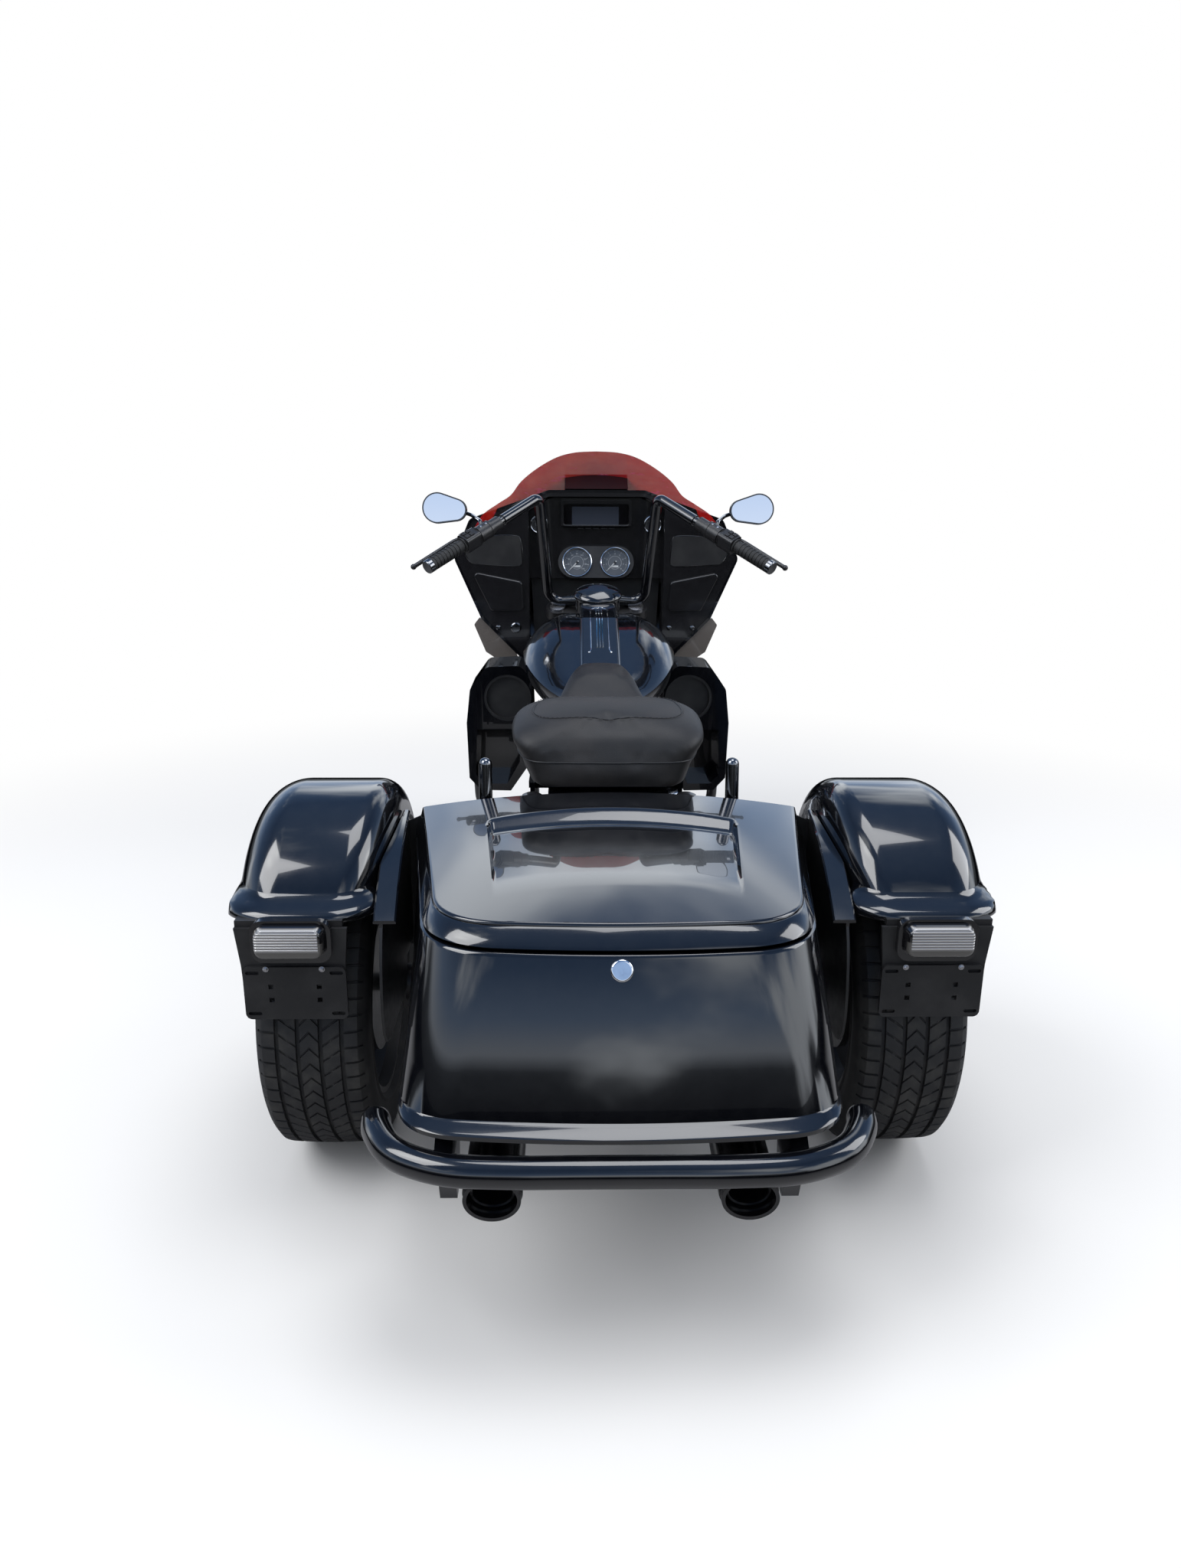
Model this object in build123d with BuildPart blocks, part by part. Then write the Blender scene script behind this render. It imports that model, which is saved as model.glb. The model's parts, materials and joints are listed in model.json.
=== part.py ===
"""Motorized touring trike: two driven rear wheels, one steered front wheel.

Millimetres. X points right, Y points forward, Z points up. The origin lies on the ground,
midway along the machine, on its plane of symmetry.
"""
from build123d import *
from math import atan2, cos, degrees, radians, sin, sqrt, tan
import os

# Wheels and their places
REAR_AXLE_Y = -629
REAR_TYRE_RADIUS = 325
REAR_TYRE_WIDTH = 215
REAR_SEAT_RADIUS = 228.6
REAR_WHEEL_X = 562
FRONT_AXLE_Y = 1041
FRONT_TYRE_RADIUS = 319
FRONT_TYRE_WIDTH = 130
FRONT_SEAT_RADIUS = 241.3

# Steering: the axis meets the ground ahead of the tyre's contact, the legs rake more than the axis
HEAD_ANGLE = 26
FORK_ANGLE = 29.25
AXIS_GROUND_Y = 1141
LEG_X = 122
SLIDER_DIA = 56
FORK_TUBE_DIA = 49
LOWER_CLAMP_Z = 752
UPPER_CLAMP_Z = 930

# Trunk
TRUNK_FRONT_Y = -600
SEAM_Z = 667
SEAM_GAP = 5
LIP_Z = 432
PAN_Z = 396
TRUNK_WALL = 6
LID_CREST_Z = 738
LID_LENGTH_RADIUS = 3900
LID_WIDTH_RADIUS = 2760
LID_TOP_Z = 745

# Rear fenders: the crown is an arc seen from the side
FENDER_IN_X = 438
FENDER_OUT_X = 700
FENDER_CENTRE = (-650, 473.7)
FENDER_RADIUS = 316.3
FENDER_FRONT_ANGLE = 28
FENDER_LIP = (-945, 598)
FENDER_FRONT_Z = 370
ARCH_RADIUS = 352
FENDER_WALL = 6

# Fairing: one outline for each station along the length
FAIRING_REAR_Y = 770
FAIRING_NOSE_Y = 1160
FAIRING_WALL = 6
PANEL_Y = 782
RECESS_Y = 858
RECESS_X = 214

# Rear bumper and exhaust
BUMPER_DIA = 50
BUMPER_Z = 363
TIP_X = 203
TIP_Z = 286
TIP_END_Y = -1300

# Handlebar points on the right side
BAR_DIA = 32
GRIP_BAR_DIA = 25.4
BAR_CLAMP = (45, 683, 972)
BAR_LOW = (150, 700, 963)
BAR_PEAK = (174, 560, 1285)
BAR_STEP = (262, 476, 1233)
BAR_END = (470, 279, 1110)


def cross_plane(y):
    """A plane across the machine: local x points right, local y up."""
    return Plane(origin=(0, y, 0), x_dir=(1, 0, 0), z_dir=(0, -1, 0))


def side_plane(x):
    """A plane along the machine: local x points forward, local y up."""
    return Plane(origin=(x, 0, 0), x_dir=(0, 1, 0), z_dir=(1, 0, 0))


def rod(start, end, outer, bore=0):
    """A straight round bar, or a tube where a bore is given."""
    run = Vector(*end) - Vector(*start)
    with BuildPart() as bar:
        with BuildSketch(Plane(origin=start, z_dir=run)):
            Circle(outer / 2)
            if bore:
                Circle(bore / 2, mode=Mode.SUBTRACT)
        extrude(amount=run.length)
    return bar.part


def tube(points, radii, outer):
    """A round bar along straight runs joined by tangent arcs."""
    with BuildPart() as bar:
        with BuildLine() as route:
            FilletPolyline(*points, radius=radii)
        with BuildSketch(Plane(origin=route.line @ 0, z_dir=route.line % 0)):
            Circle(outer / 2)
        sweep(path=route.line)
    return bar.part


def both_sides(piece):
    """The piece and its mirror image in the plane of symmetry."""
    with BuildPart() as pair:
        add(piece)
        mirror(piece, about=Plane.YZ)
    return pair.part


def on_side(piece, side):
    """The piece as drawn for the right side, or its mirror image for the left."""
    return piece if side > 0 else mirror(piece, about=Plane.YZ)


def joined(*pieces):
    """Pieces fused into one body."""
    with BuildPart() as whole:
        for piece in pieces:
            add(piece)
    return whole.part


pieces = {}


def keep(name, part):
    """Keeps a finished piece under the name of its node."""
    part.label = name
    pieces[name] = part


# Wheels and tyres

def tyre(centre, radius, width, seat):
    """A tyre as one ring: beads on the rim, bulged sidewalls and a lightly crowned tread."""
    half = width / 2
    bead = half * 0.86
    with BuildPart() as ring:
        with BuildSketch(Plane(origin=centre, x_dir=(1, 0, 0), z_dir=(0, -1, 0))):
            with BuildLine():
                Line((-bead, seat), (bead, seat))
                ThreePointArc((bead, seat), (half, seat + (radius - seat) * 0.5), (half * 0.9, radius - 14))
                ThreePointArc((half * 0.9, radius - 14), (half * 0.86, radius - 6), (half * 0.76, radius - 3))
                ThreePointArc((half * 0.76, radius - 3), (0, radius), (-half * 0.76, radius - 3))
                ThreePointArc((-half * 0.76, radius - 3), (-half * 0.86, radius - 6), (-half * 0.9, radius - 14))
                ThreePointArc((-half * 0.9, radius - 14), (-half, seat + (radius - seat) * 0.5), (-bead, seat))
            make_face()
        revolve(axis=Axis(centre, (1, 0, 0)))
    return ring.part


def cast_wheel(centre, seat, width, spokes, hub_radius, face_x):
    """A cast wheel: a dropped barrel, a hub and forked spokes near the outer face."""
    half = width * 0.43
    thick = 12
    x, y, z = centre
    face = Plane(origin=(x + face_x, y, z), x_dir=(0, 1, 0), z_dir=(1, 0, 0))
    with BuildSketch() as spoke:
        with BuildLine():
            Polyline((hub_radius - 8, -22), (seat - 1.5 * thick, -15), (seat - 1.5 * thick, 15),
                     (hub_radius - 8, 22), (hub_radius - 8, -22))
        make_face()
    with BuildPart() as wheel:
        with BuildSketch(Plane(origin=centre, x_dir=(1, 0, 0), z_dir=(0, -1, 0))):
            with BuildLine():
                Polyline(
                    (-half, seat), (half, seat), (half, seat - thick), (half * 0.72, seat - thick),
                    (half * 0.5, seat - 2.2 * thick), (-half * 0.5, seat - 2.2 * thick),
                    (-half * 0.72, seat - thick), (-half, seat - thick), (-half, seat))
            make_face()
        revolve(axis=Axis(centre, (1, 0, 0)))
        with BuildSketch(face):
            Circle(hub_radius)
        extrude(amount=22, both=True)
        with BuildSketch(face):
            with PolarLocations(0, spokes):
                add(spoke.sketch)
        extrude(amount=13, both=True)
        with BuildSketch(face):
            with PolarLocations(0.5 * (hub_radius + seat), spokes):
                SlotOverall((seat - hub_radius) * 0.6, 11)
        extrude(amount=14, both=True, mode=Mode.SUBTRACT)
    return wheel.part


REAR_CENTRE = (REAR_WHEEL_X, REAR_AXLE_Y, REAR_TYRE_RADIUS)
FRONT_CENTRE = (0, FRONT_AXLE_Y, FRONT_TYRE_RADIUS)
STUB_X = 400
HOUSING_DIA = 78
STUB_DIA = 38

rear_tyre = tyre(REAR_CENTRE, REAR_TYRE_RADIUS, REAR_TYRE_WIDTH, REAR_SEAT_RADIUS)
rear_wheel = joined(
    cast_wheel(REAR_CENTRE, REAR_SEAT_RADIUS, REAR_TYRE_WIDTH, 7, 68, 58),
    rod((STUB_X, REAR_AXLE_Y, REAR_TYRE_RADIUS), (REAR_WHEEL_X + 60, REAR_AXLE_Y, REAR_TYRE_RADIUS), STUB_DIA),
    rod((480, REAR_AXLE_Y, REAR_TYRE_RADIUS), (494, REAR_AXLE_Y, REAR_TYRE_RADIUS), 280),
    rod((494, REAR_AXLE_Y, REAR_TYRE_RADIUS), (610, REAR_AXLE_Y, REAR_TYRE_RADIUS), 120),
)
for name, side in (("left", -1), ("right", 1)):
    keep("rear_tyre_" + name, on_side(rear_tyre, side))
    keep("rear_wheel_" + name, on_side(rear_wheel, side))

FRONT_AXLE_DIA = 25
DISC_X = 74
keep("front_tyre", tyre(FRONT_CENTRE, FRONT_TYRE_RADIUS, FRONT_TYRE_WIDTH, FRONT_SEAT_RADIUS))
front_hub = joined(
    cast_wheel(FRONT_CENTRE, FRONT_SEAT_RADIUS, FRONT_TYRE_WIDTH, 7, 52, 0),
    rod((-DISC_X, FRONT_AXLE_Y, FRONT_TYRE_RADIUS), (DISC_X, FRONT_AXLE_Y, FRONT_TYRE_RADIUS), 70),
)
with BuildPart() as front_wheel:
    add(front_hub)
    add(rod((-80, FRONT_AXLE_Y, FRONT_TYRE_RADIUS), (80, FRONT_AXLE_Y, FRONT_TYRE_RADIUS), FRONT_AXLE_DIA + 1),
        mode=Mode.SUBTRACT)
keep("front_wheel", front_wheel.part)

with BuildPart() as disc:
    with BuildSketch(side_plane(DISC_X)):
        with Locations((FRONT_AXLE_Y, FRONT_TYRE_RADIUS)):
            Circle(150)
            Circle(34, mode=Mode.SUBTRACT)
            with PolarLocations(78, 8):
                SlotOverall(40, 18, rotation=0, mode=Mode.SUBTRACT)
    extrude(amount=5)
keep("brake_discs", both_sides(disc.part))


# Trunk body, lid and the panels beside them

def trunk_outline(half_front, half_rear, rear, corner, bow=22):
    """The trunk seen from above: straight front, nearly straight sides and a bowed rear."""
    with BuildSketch() as outline:
        with BuildLine():
            Polyline((-half_rear, rear + bow), (-half_front, TRUNK_FRONT_Y), (half_front, TRUNK_FRONT_Y),
                     (half_rear, rear + bow))
            ThreePointArc((half_rear, rear + bow), (0, rear), (-half_rear, rear + bow))
        make_face()
        fillet(outline.vertices().group_by(Axis.Y)[0], radius=corner)
    return outline.sketch


# Columns: height, half width at the front, half width at the rear, rear end, corner radius
TRUNK_SECTIONS = (
    (LIP_Z, 384, 376, -1300, 120),
    (560, 382, 372, -1257, 124),
    (SEAM_Z - SEAM_GAP, 377, 367, -1207, 128),
)
LID_SECTIONS = (
    (SEAM_Z, 374, 363, -1205, 128),
    (LID_TOP_Z, 362, 336, -1112, 104),
)


def trunk_form(sections, inset, low=0):
    """A closed form through the given sections, with its skin set in."""
    with BuildPart() as form:
        for z, half_front, half_rear, rear, corner in sections:
            with BuildSketch(Plane.XY.offset(z + low)):
                add(trunk_outline(half_front, half_rear, rear, corner))
                if inset:
                    offset(amount=-inset)
        loft()
    return form.part


def lid_crown(half, drop):
    """The space under the lid's top, which is curved both ways."""
    centre_z = LID_CREST_Z - drop - LID_LENGTH_RADIUS
    sag = LID_WIDTH_RADIUS - sqrt(LID_WIDTH_RADIUS ** 2 - half ** 2)
    with BuildPart() as crown:
        with BuildSketch(cross_plane(TRUNK_FRONT_Y)):
            with BuildLine():
                top = LID_CREST_Z - drop
                ThreePointArc((-half, top - sag), (0, top), (half, top - sag))
                Polyline((half, top - sag), (half, SEAM_Z - 120), (-half, SEAM_Z - 120), (-half, top - sag))
            make_face()
        revolve(axis=Axis((0, TRUNK_FRONT_Y, centre_z), (1, 0, 0)), revolution_arc=10)
    return crown.part


LOCK_TILT = 24
lock_plane = Plane(origin=(0, -1216, 640), x_dir=(1, 0, 0),
                   z_dir=(0, -cos(radians(LOCK_TILT)), sin(radians(LOCK_TILT))))
with BuildPart() as trunk_lock:
    with BuildSketch(lock_plane):
        Circle(18)
    extrude(amount=9)
    fillet(trunk_lock.faces().sort_by(Axis.Y)[0].edges(), radius=4)
    with BuildSketch(lock_plane.offset(9)):
        SlotOverall(12, 3, rotation=90)
    extrude(amount=-3, mode=Mode.SUBTRACT)
keep("trunk_lock", trunk_lock.part)

STEP_LENGTH = 170
STEP_Z = 470
trunk_outer = trunk_form(TRUNK_SECTIONS, 0)
trunk_inner = trunk_form(TRUNK_SECTIONS, TRUNK_WALL, 0.01)
with BuildPart() as trunk_flange:
    with BuildSketch(Plane.XY.offset(LIP_Z - 6)):
        add(trunk_outline(384, 376, -1312, 128))
    extrude(amount=17)
    fillet(trunk_flange.edges().group_by(Axis.Z)[0], radius=7)
with BuildPart() as trunk_body:
    add(trunk_outer)
    add(trunk_flange.part)
    with BuildSketch(Plane.XY.offset(PAN_Z)):
        add(trunk_outline(366, 352, -1272, 112))
    extrude(amount=LIP_Z - PAN_Z)
    add(trunk_inner, mode=Mode.SUBTRACT)
    with BuildSketch(Plane.XY.offset(LIP_Z - 20)):
        add(trunk_outline(366, 354, -1270, 112))
        offset(amount=-TRUNK_WALL)
    extrude(amount=30, mode=Mode.SUBTRACT)
    with BuildSketch(side_plane(-420)):
        with Locations((TRUNK_FRONT_Y + 10, PAN_Z - 20)):
            Rectangle(STEP_LENGTH + 10, STEP_Z - PAN_Z + 20, align=(Align.MAX, Align.MIN))
    extrude(amount=840, mode=Mode.SUBTRACT)
    with BuildSketch(side_plane(-TRUNK_SECTIONS[1][2])):
        with BuildLine():
            step_y = TRUNK_FRONT_Y - STEP_LENGTH
            Polyline((TRUNK_FRONT_Y, STEP_Z), (TRUNK_FRONT_Y, STEP_Z + TRUNK_WALL),
                     (step_y - TRUNK_WALL, STEP_Z + TRUNK_WALL), (step_y - TRUNK_WALL, LIP_Z - 10),
                     (step_y, LIP_Z - 10), (step_y, STEP_Z), (TRUNK_FRONT_Y, STEP_Z))
        make_face()
    extrude(amount=2 * TRUNK_SECTIONS[1][2])
    add(trunk_lock.part, mode=Mode.SUBTRACT)
keep("trunk_body", trunk_body.part)

LID_WALL = 5
SCOOP_DEPTH = 17
SCOOP_REAR_Y = -1020
with BuildPart() as scoop:
    with BuildSketch(Plane.XY.offset(LID_CREST_Z - 26)):
        add(trunk_outline(205, 212, -1090, 20, 4))
    with BuildSketch(Plane.XY.offset(LID_CREST_Z + 8)):
        add(trunk_outline(232, 238, -1090, 40, 4))
    loft()
    with BuildSketch(Plane.XY.offset(LID_CREST_Z - 60)):
        with Locations((0, TRUNK_FRONT_Y)):
            Rectangle(600, 120)
    extrude(amount=120, mode=Mode.SUBTRACT)
    add(lid_crown(420, 0).rotate(Axis((0, SCOOP_REAR_Y, LID_CREST_Z - 22.5), (1, 0, 0)),
                                 degrees(SCOOP_DEPTH / (TRUNK_FRONT_Y - 60 - SCOOP_REAR_Y))),
        mode=Mode.SUBTRACT)
with BuildPart() as trunk_lid:
    add(trunk_form(LID_SECTIONS, 0))
    add(lid_crown(420, 0), mode=Mode.INTERSECT)
    top_rim = trunk_lid.edges().filter_by(lambda e: (e @ 0.5).Z > SEAM_Z + 22 and (e @ 0.5).Y < TRUNK_FRONT_Y - 5)
    top_rim = top_rim.filter_by(lambda e: abs((e @ 0).Z - (e @ 1).Z) < 32 and (e @ 0).Z > SEAM_Z + 22)
    fillet(top_rim, radius=9)
    add(scoop.part, mode=Mode.SUBTRACT)
with BuildPart() as lid_space:
    add(trunk_form(LID_SECTIONS, LID_WALL, -0.01))
    add(lid_crown(420, SCOOP_DEPTH + LID_WALL), mode=Mode.INTERSECT)
with BuildPart() as trunk_lid_shell:
    add(trunk_lid.part)
    add(lid_space.part, mode=Mode.SUBTRACT)
keep("trunk_lid", trunk_lid_shell.part)

# The painted strip between the trunk and each fender
DECK_IN_X = 382
DECK_OUT_X = FENDER_IN_X
DECK_WALL = 6
with BuildPart() as deck:
    with BuildSketch(side_plane(DECK_IN_X)):
        with BuildLine():
            ThreePointArc((TRUNK_FRONT_Y, 740), (-800, 704), (-952, 606))
            Line((-952, 606), (-952 + DECK_WALL, 602))
            ThreePointArc((-952 + DECK_WALL, 602), (-798, 704 - DECK_WALL), (TRUNK_FRONT_Y, 740 - DECK_WALL))
            Line((TRUNK_FRONT_Y, 740 - DECK_WALL), (TRUNK_FRONT_Y, 740))
        make_face()
    extrude(amount=DECK_OUT_X - DECK_IN_X)
    with BuildSketch(side_plane(DECK_OUT_X - DECK_WALL)):
        with BuildLine():
            ThreePointArc((TRUNK_FRONT_Y, 736), (-798, 700), (-950, 604))
            Polyline((-950, 604), (-950, 420), (TRUNK_FRONT_Y, 420), (TRUNK_FRONT_Y, 736))
        make_face()
        with Locations((REAR_AXLE_Y, REAR_TYRE_RADIUS)):
            Circle(130, mode=Mode.SUBTRACT)
    extrude(amount=DECK_WALL)
    with BuildSketch(side_plane(DECK_IN_X)):
        with Locations((-770, 660)):
            Rectangle(60, 100)
    extrude(amount=DECK_WALL)
    with BuildSketch(side_plane(DECK_IN_X - 16)):
        with Locations((-770, 630)):
            Rectangle(60, 24)
    extrude(amount=18)
    add(trunk_outer, mode=Mode.SUBTRACT)
keep("side_decks", both_sides(deck.part))


# Rear fenders

FENDER_BASE_Z = 250
CROWN_OUT_RADIUS = 88
CROWN_IN_RADIUS = 48


def fender_form(inset):
    """The crowned fender as a closed form that runs on below the arch, its skin set in by inset."""
    cy, cz = FENDER_CENTRE
    r = FENDER_RADIUS - inset
    turn = radians(FENDER_FRONT_ANGLE)
    shoulder = (cy + r * cos(turn), cz + r * sin(turn))
    fall = shoulder[1] - FENDER_BASE_Z
    front = (shoulder[0] + fall * tan(turn), FENDER_BASE_Z)
    with BuildPart() as form:
        with BuildSketch(side_plane(FENDER_IN_X + inset)):
            with BuildLine():
                Line((cy - r, FENDER_BASE_Z), (cy - r, cz))
                ThreePointArc((cy - r, cz), (cy, cz + r), shoulder)
                Polyline(shoulder, front, (cy - r, FENDER_BASE_Z))
            make_face()
        extrude(amount=FENDER_OUT_X - FENDER_IN_X - 2 * inset)
        rims = form.edges().filter_by(lambda e: abs((e @ 0).X - (e @ 1).X) < 1 and (e @ 0.5).Z > FENDER_BASE_Z + 1)
        fillet(rims.filter_by(lambda e: (e @ 0.5).X > REAR_WHEEL_X), radius=CROWN_OUT_RADIUS - inset)
        rims = form.edges().filter_by(lambda e: abs((e @ 0.5).X - FENDER_IN_X - inset) < 0.1
                                      and (e @ 0.5).Z > FENDER_BASE_Z + 1)
        fillet(rims, radius=CROWN_IN_RADIUS - inset)
    return form.part


with BuildPart() as fender:
    add(fender_form(0))
    add(fender_form(FENDER_WALL), mode=Mode.SUBTRACT)
    with BuildSketch(side_plane(FENDER_IN_X - 10)):
        with Locations((REAR_AXLE_Y, REAR_TYRE_RADIUS)):
            Circle(ARCH_RADIUS)
        with Locations((FENDER_LIP[0] - 60, FENDER_LIP[1])):
            Rectangle(260, 500, align=(Align.MIN, Align.MAX))
        with Locations((REAR_AXLE_Y, FENDER_FRONT_Z)):
            Rectangle(600, 300, align=(Align.MIN, Align.MAX))
    extrude(amount=FENDER_OUT_X - FENDER_IN_X + 20, mode=Mode.SUBTRACT)
keep("rear_fenders", both_sides(fender.part))

# Tail lamps on their brackets, and the blank number plate holders below them
LAMP_X = 573
LAMP_Z = 580
LAMP_Y = -972
PLATE_Z = 476
with BuildPart() as lamp_bracket:
    with BuildSketch(cross_plane(-958)):
        with BuildLine():
            Polyline((476, 600), (694, 600), (668, 528), (664, 424), (486, 424), (482, 528), (476, 600))
        make_face()
    extrude(amount=8)
    with BuildSketch(cross_plane(-922)):
        with Locations((580, 606)):
            Rectangle(190, 12)
    extrude(amount=38)
    add(fender_form(0), mode=Mode.SUBTRACT)
with BuildPart() as plate_holder:
    with BuildSketch(cross_plane(-966)):
        with Locations((LAMP_X, PLATE_Z)):
            RectangleRounded(184, 103, 12)
            with GridLocations(150, 80, 2, 2):
                SlotOverall(24, 7, mode=Mode.SUBTRACT)
            with GridLocations(86, 26, 2, 2):
                Rectangle(9, 9, mode=Mode.SUBTRACT)
    extrude(amount=6)
with BuildPart() as tail_lamp:
    with BuildSketch(cross_plane(-966)):
        with Locations((LAMP_X, LAMP_Z)):
            RectangleRounded(142, 80, 22)
    extrude(amount=14)
    with BuildSketch(cross_plane(-980)):
        with Locations((LAMP_X, LAMP_Z + 3)):
            RectangleRounded(128, 62, 20)
    extrude(amount=22, taper=14)
    fillet(tail_lamp.faces().sort_by(Axis.Y)[0].edges(), radius=6)
keep("plate_brackets", both_sides(joined(lamp_bracket.part, plate_holder.part)))
keep("tail_lamps", both_sides(tail_lamp.part))

# Rear bumper: one bent tube with rounded ends and two stays
bumper_half = [(0, -1335, BUMPER_Z), (230, -1335, BUMPER_Z), (372, -1292, BUMPER_Z + 2),
               (424, -1222, BUMPER_Z + 8), (432, -1168, BUMPER_Z + 16)]
bumper_route = [(-x, y, z) for x, y, z in bumper_half[:0:-1]] + bumper_half[1:]
with BuildPart() as bumper:
    add(tube(bumper_route, [60, 70, 160, 160, 70, 60], BUMPER_DIA))
    fillet(bumper.edges().filter_by(GeomType.CIRCLE).group_by(Axis.Y)[-1], radius=22)
    for side in (-1, 1):
        with BuildSketch(side_plane(side * 222 - 8)):
            with BuildLine():
                Polyline((-1235, PAN_Z), (-1170, PAN_Z), (-1205, 338), (-1315, 334), (-1322, 352), (-1235, PAN_Z))
            make_face()
        extrude(amount=16)
keep("rear_bumper", bumper.part)

# Mufflers with double-walled oval ends, and the pipes that feed them
MUFFLER_FRONT_Y = -745
with BuildPart() as muffler:
    with BuildSketch(cross_plane(MUFFLER_FRONT_Y)):
        with Locations((TIP_X, TIP_Z - 14)):
            Ellipse(30, 28)
    with BuildSketch(cross_plane(MUFFLER_FRONT_Y - 70)):
        with Locations((TIP_X, TIP_Z)):
            Ellipse(46, 40)
    with BuildSketch(cross_plane(TIP_END_Y + 20)):
        with Locations((TIP_X, TIP_Z)):
            Ellipse(48, 40)
    loft(ruled=True)
    with BuildSketch(cross_plane(TIP_END_Y + 50)):
        with Locations((TIP_X, TIP_Z)):
            Ellipse(46, 38)
            Ellipse(40, 32, mode=Mode.SUBTRACT)
    extrude(amount=50)
    with BuildSketch(cross_plane(TIP_END_Y + 19)):
        with Locations((TIP_X, TIP_Z)):
            Ellipse(40, 32)
    extrude(amount=-90, mode=Mode.SUBTRACT)
    with BuildSketch(cross_plane(TIP_END_Y + 22)):
        with Locations((TIP_X, TIP_Z)):
            Ellipse(36, 28)
            Ellipse(32, 24, mode=Mode.SUBTRACT)
    extrude(amount=-92)
keep("mufflers", both_sides(muffler.part))

PIPE_DIA = 45
PIPE_Z = 205
with BuildPart() as exhaust_pipes:
    add(tube([(62, 462, 545), (150, 500, 520), (186, 484, 430), (186, 440, 262), (190, 300, PIPE_Z),
              (192, 60, PIPE_Z), (196, -300, PIPE_Z), (198, -560, PIPE_Z), (TIP_X, -700, TIP_Z - 14),
              (TIP_X, MUFFLER_FRONT_Y, TIP_Z - 14)],
             [55, 60, 90, 80, 300, 300, 120, 60], PIPE_DIA))
    add(tube([(62, 40, 545), (140, 20, 520), (192, 10, 420), (192, -10, 300), (193, -60, PIPE_Z)],
             [40, 50, 60], PIPE_DIA))
    add(tube([(193, -160, PIPE_Z), (100, -190, PIPE_Z), (-100, -220, PIPE_Z), (-196, -290, PIPE_Z),
              (-198, -560, PIPE_Z), (-TIP_X, -700, TIP_Z - 14), (-TIP_X, MUFFLER_FRONT_Y, TIP_Z - 14)],
             [60, 60, 90, 120, 60], PIPE_DIA))
keep("exhaust_pipes", exhaust_pipes.part)


# Chassis: head, backbone, twin cradle tubes and rear rails

def axis_point(z):
    """The point of the steering axis at a height."""
    return (0, AXIS_GROUND_Y - z * tan(radians(HEAD_ANGLE)), z)


def leg_point(z, x=LEG_X):
    """The point of a fork leg's centre line at a height."""
    return (x, FRONT_AXLE_Y - (z - FRONT_TYRE_RADIUS) * tan(radians(FORK_ANGLE)), z)


NECK_LOW_Z = LOWER_CLAMP_Z + 26
NECK_TOP_Z = UPPER_CLAMP_Z - 22
NECK_DIA = 62
STEM_DIA = 30
FRAME_TUBE = 34
with BuildPart() as frame:
    add(rod(axis_point(NECK_LOW_Z), axis_point(NECK_TOP_Z), NECK_DIA))
    with BuildSketch(side_plane(-22)):
        with BuildLine():
            Polyline((735, 800), (690, 900), (420, 840), (120, 740), (-80, 690), (-80, 640), (0, 672), (130, 694),
                     (440, 742), (640, 742), (735, 800))
        make_face()
    extrude(amount=44)
    for side in (-1, 1):
        add(tube([(side * 8, 690, 790), (side * 95, 600, 640), (side * 132, 560, 300), (side * 132, 480, 168),
                  (side * 132, 200, 160), (side * 132, -90, 170), (side * 132, -150, 260), (side * 132, -160, 420),
                  (side * 120, -150, 600), (side * 60, -60, 668), (side * 10, -20, 672)],
                 [110, 160, 70, 500, 70, 60, 200, 70, 60], FRAME_TUBE))
        add(tube([(side * 118, -150, 590), (side * 150, -260, 600), (side * 150, -420, 625),
                  (side * 150, TRUNK_FRONT_Y, 625)], [80, 200], 28))
    add(rod((-140, -152, 300), (140, -152, 300), 40))
    add(rod((-140, 500, 178), (140, 500, 178), 28))
    add(rod((-150, -430, 625), (150, -430, 625), 24))
with BuildPart() as frame_bored:
    add(frame.part)
    add(rod(axis_point(NECK_LOW_Z - 40), axis_point(NECK_TOP_Z + 40), STEM_DIA + 0.1), mode=Mode.SUBTRACT)
keep("frame", frame_bored.part)

ARM_X = 180
HOUSING_END_X = 428
with BuildPart() as rear_axle:
    add(rod((-HOUSING_END_X, REAR_AXLE_Y, REAR_TYRE_RADIUS), (HOUSING_END_X, REAR_AXLE_Y, REAR_TYRE_RADIUS),
            HOUSING_DIA))
    add(rod((-52, REAR_AXLE_Y, REAR_TYRE_RADIUS), (74, REAR_AXLE_Y, REAR_TYRE_RADIUS), 190))
    for side in (-1, 1):
        with BuildSketch(side_plane(side * ARM_X - 16)):
            with BuildLine():
                Polyline((-130, 278), (-110, 300), (-130, 326), (-560, 372), (-675, 366), (-675, 290),
                         (-560, 286), (-130, 278))
            make_face()
        extrude(amount=32)
    add(rod((-ARM_X, -230, 302), (ARM_X, -230, 302), 44))
    for side in (-1, 1):
        add(rod((side * (HOUSING_END_X + 1), REAR_AXLE_Y, REAR_TYRE_RADIUS),
                (side * (STUB_X - 40), REAR_AXLE_Y, REAR_TYRE_RADIUS), STUB_DIA + 1), mode=Mode.SUBTRACT)
    add(rod((-200, -152, 300), (200, -152, 300), 40.2), mode=Mode.SUBTRACT)
keep("rear_axle", rear_axle.part)

shock_low = Vector(232, -566, 372)
shock_top = Vector(205, -428, 590)
shock_run = shock_top - shock_low
with BuildPart() as shock:
    add(rod(tuple(shock_low), tuple(shock_top), 34))
    add(rod(tuple(shock_low + shock_run * 0.36), tuple(shock_low + shock_run * 0.94), 62))
    add(rod((188, -566, 366), (250, -566, 366), 26))
    add(rod((150, -426, 600), (222, -426, 600), 26))
    add(rear_axle.part, mode=Mode.SUBTRACT)
    add(frame_bored.part, mode=Mode.SUBTRACT)
keep("rear_shocks", both_sides(shock.part))

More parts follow.
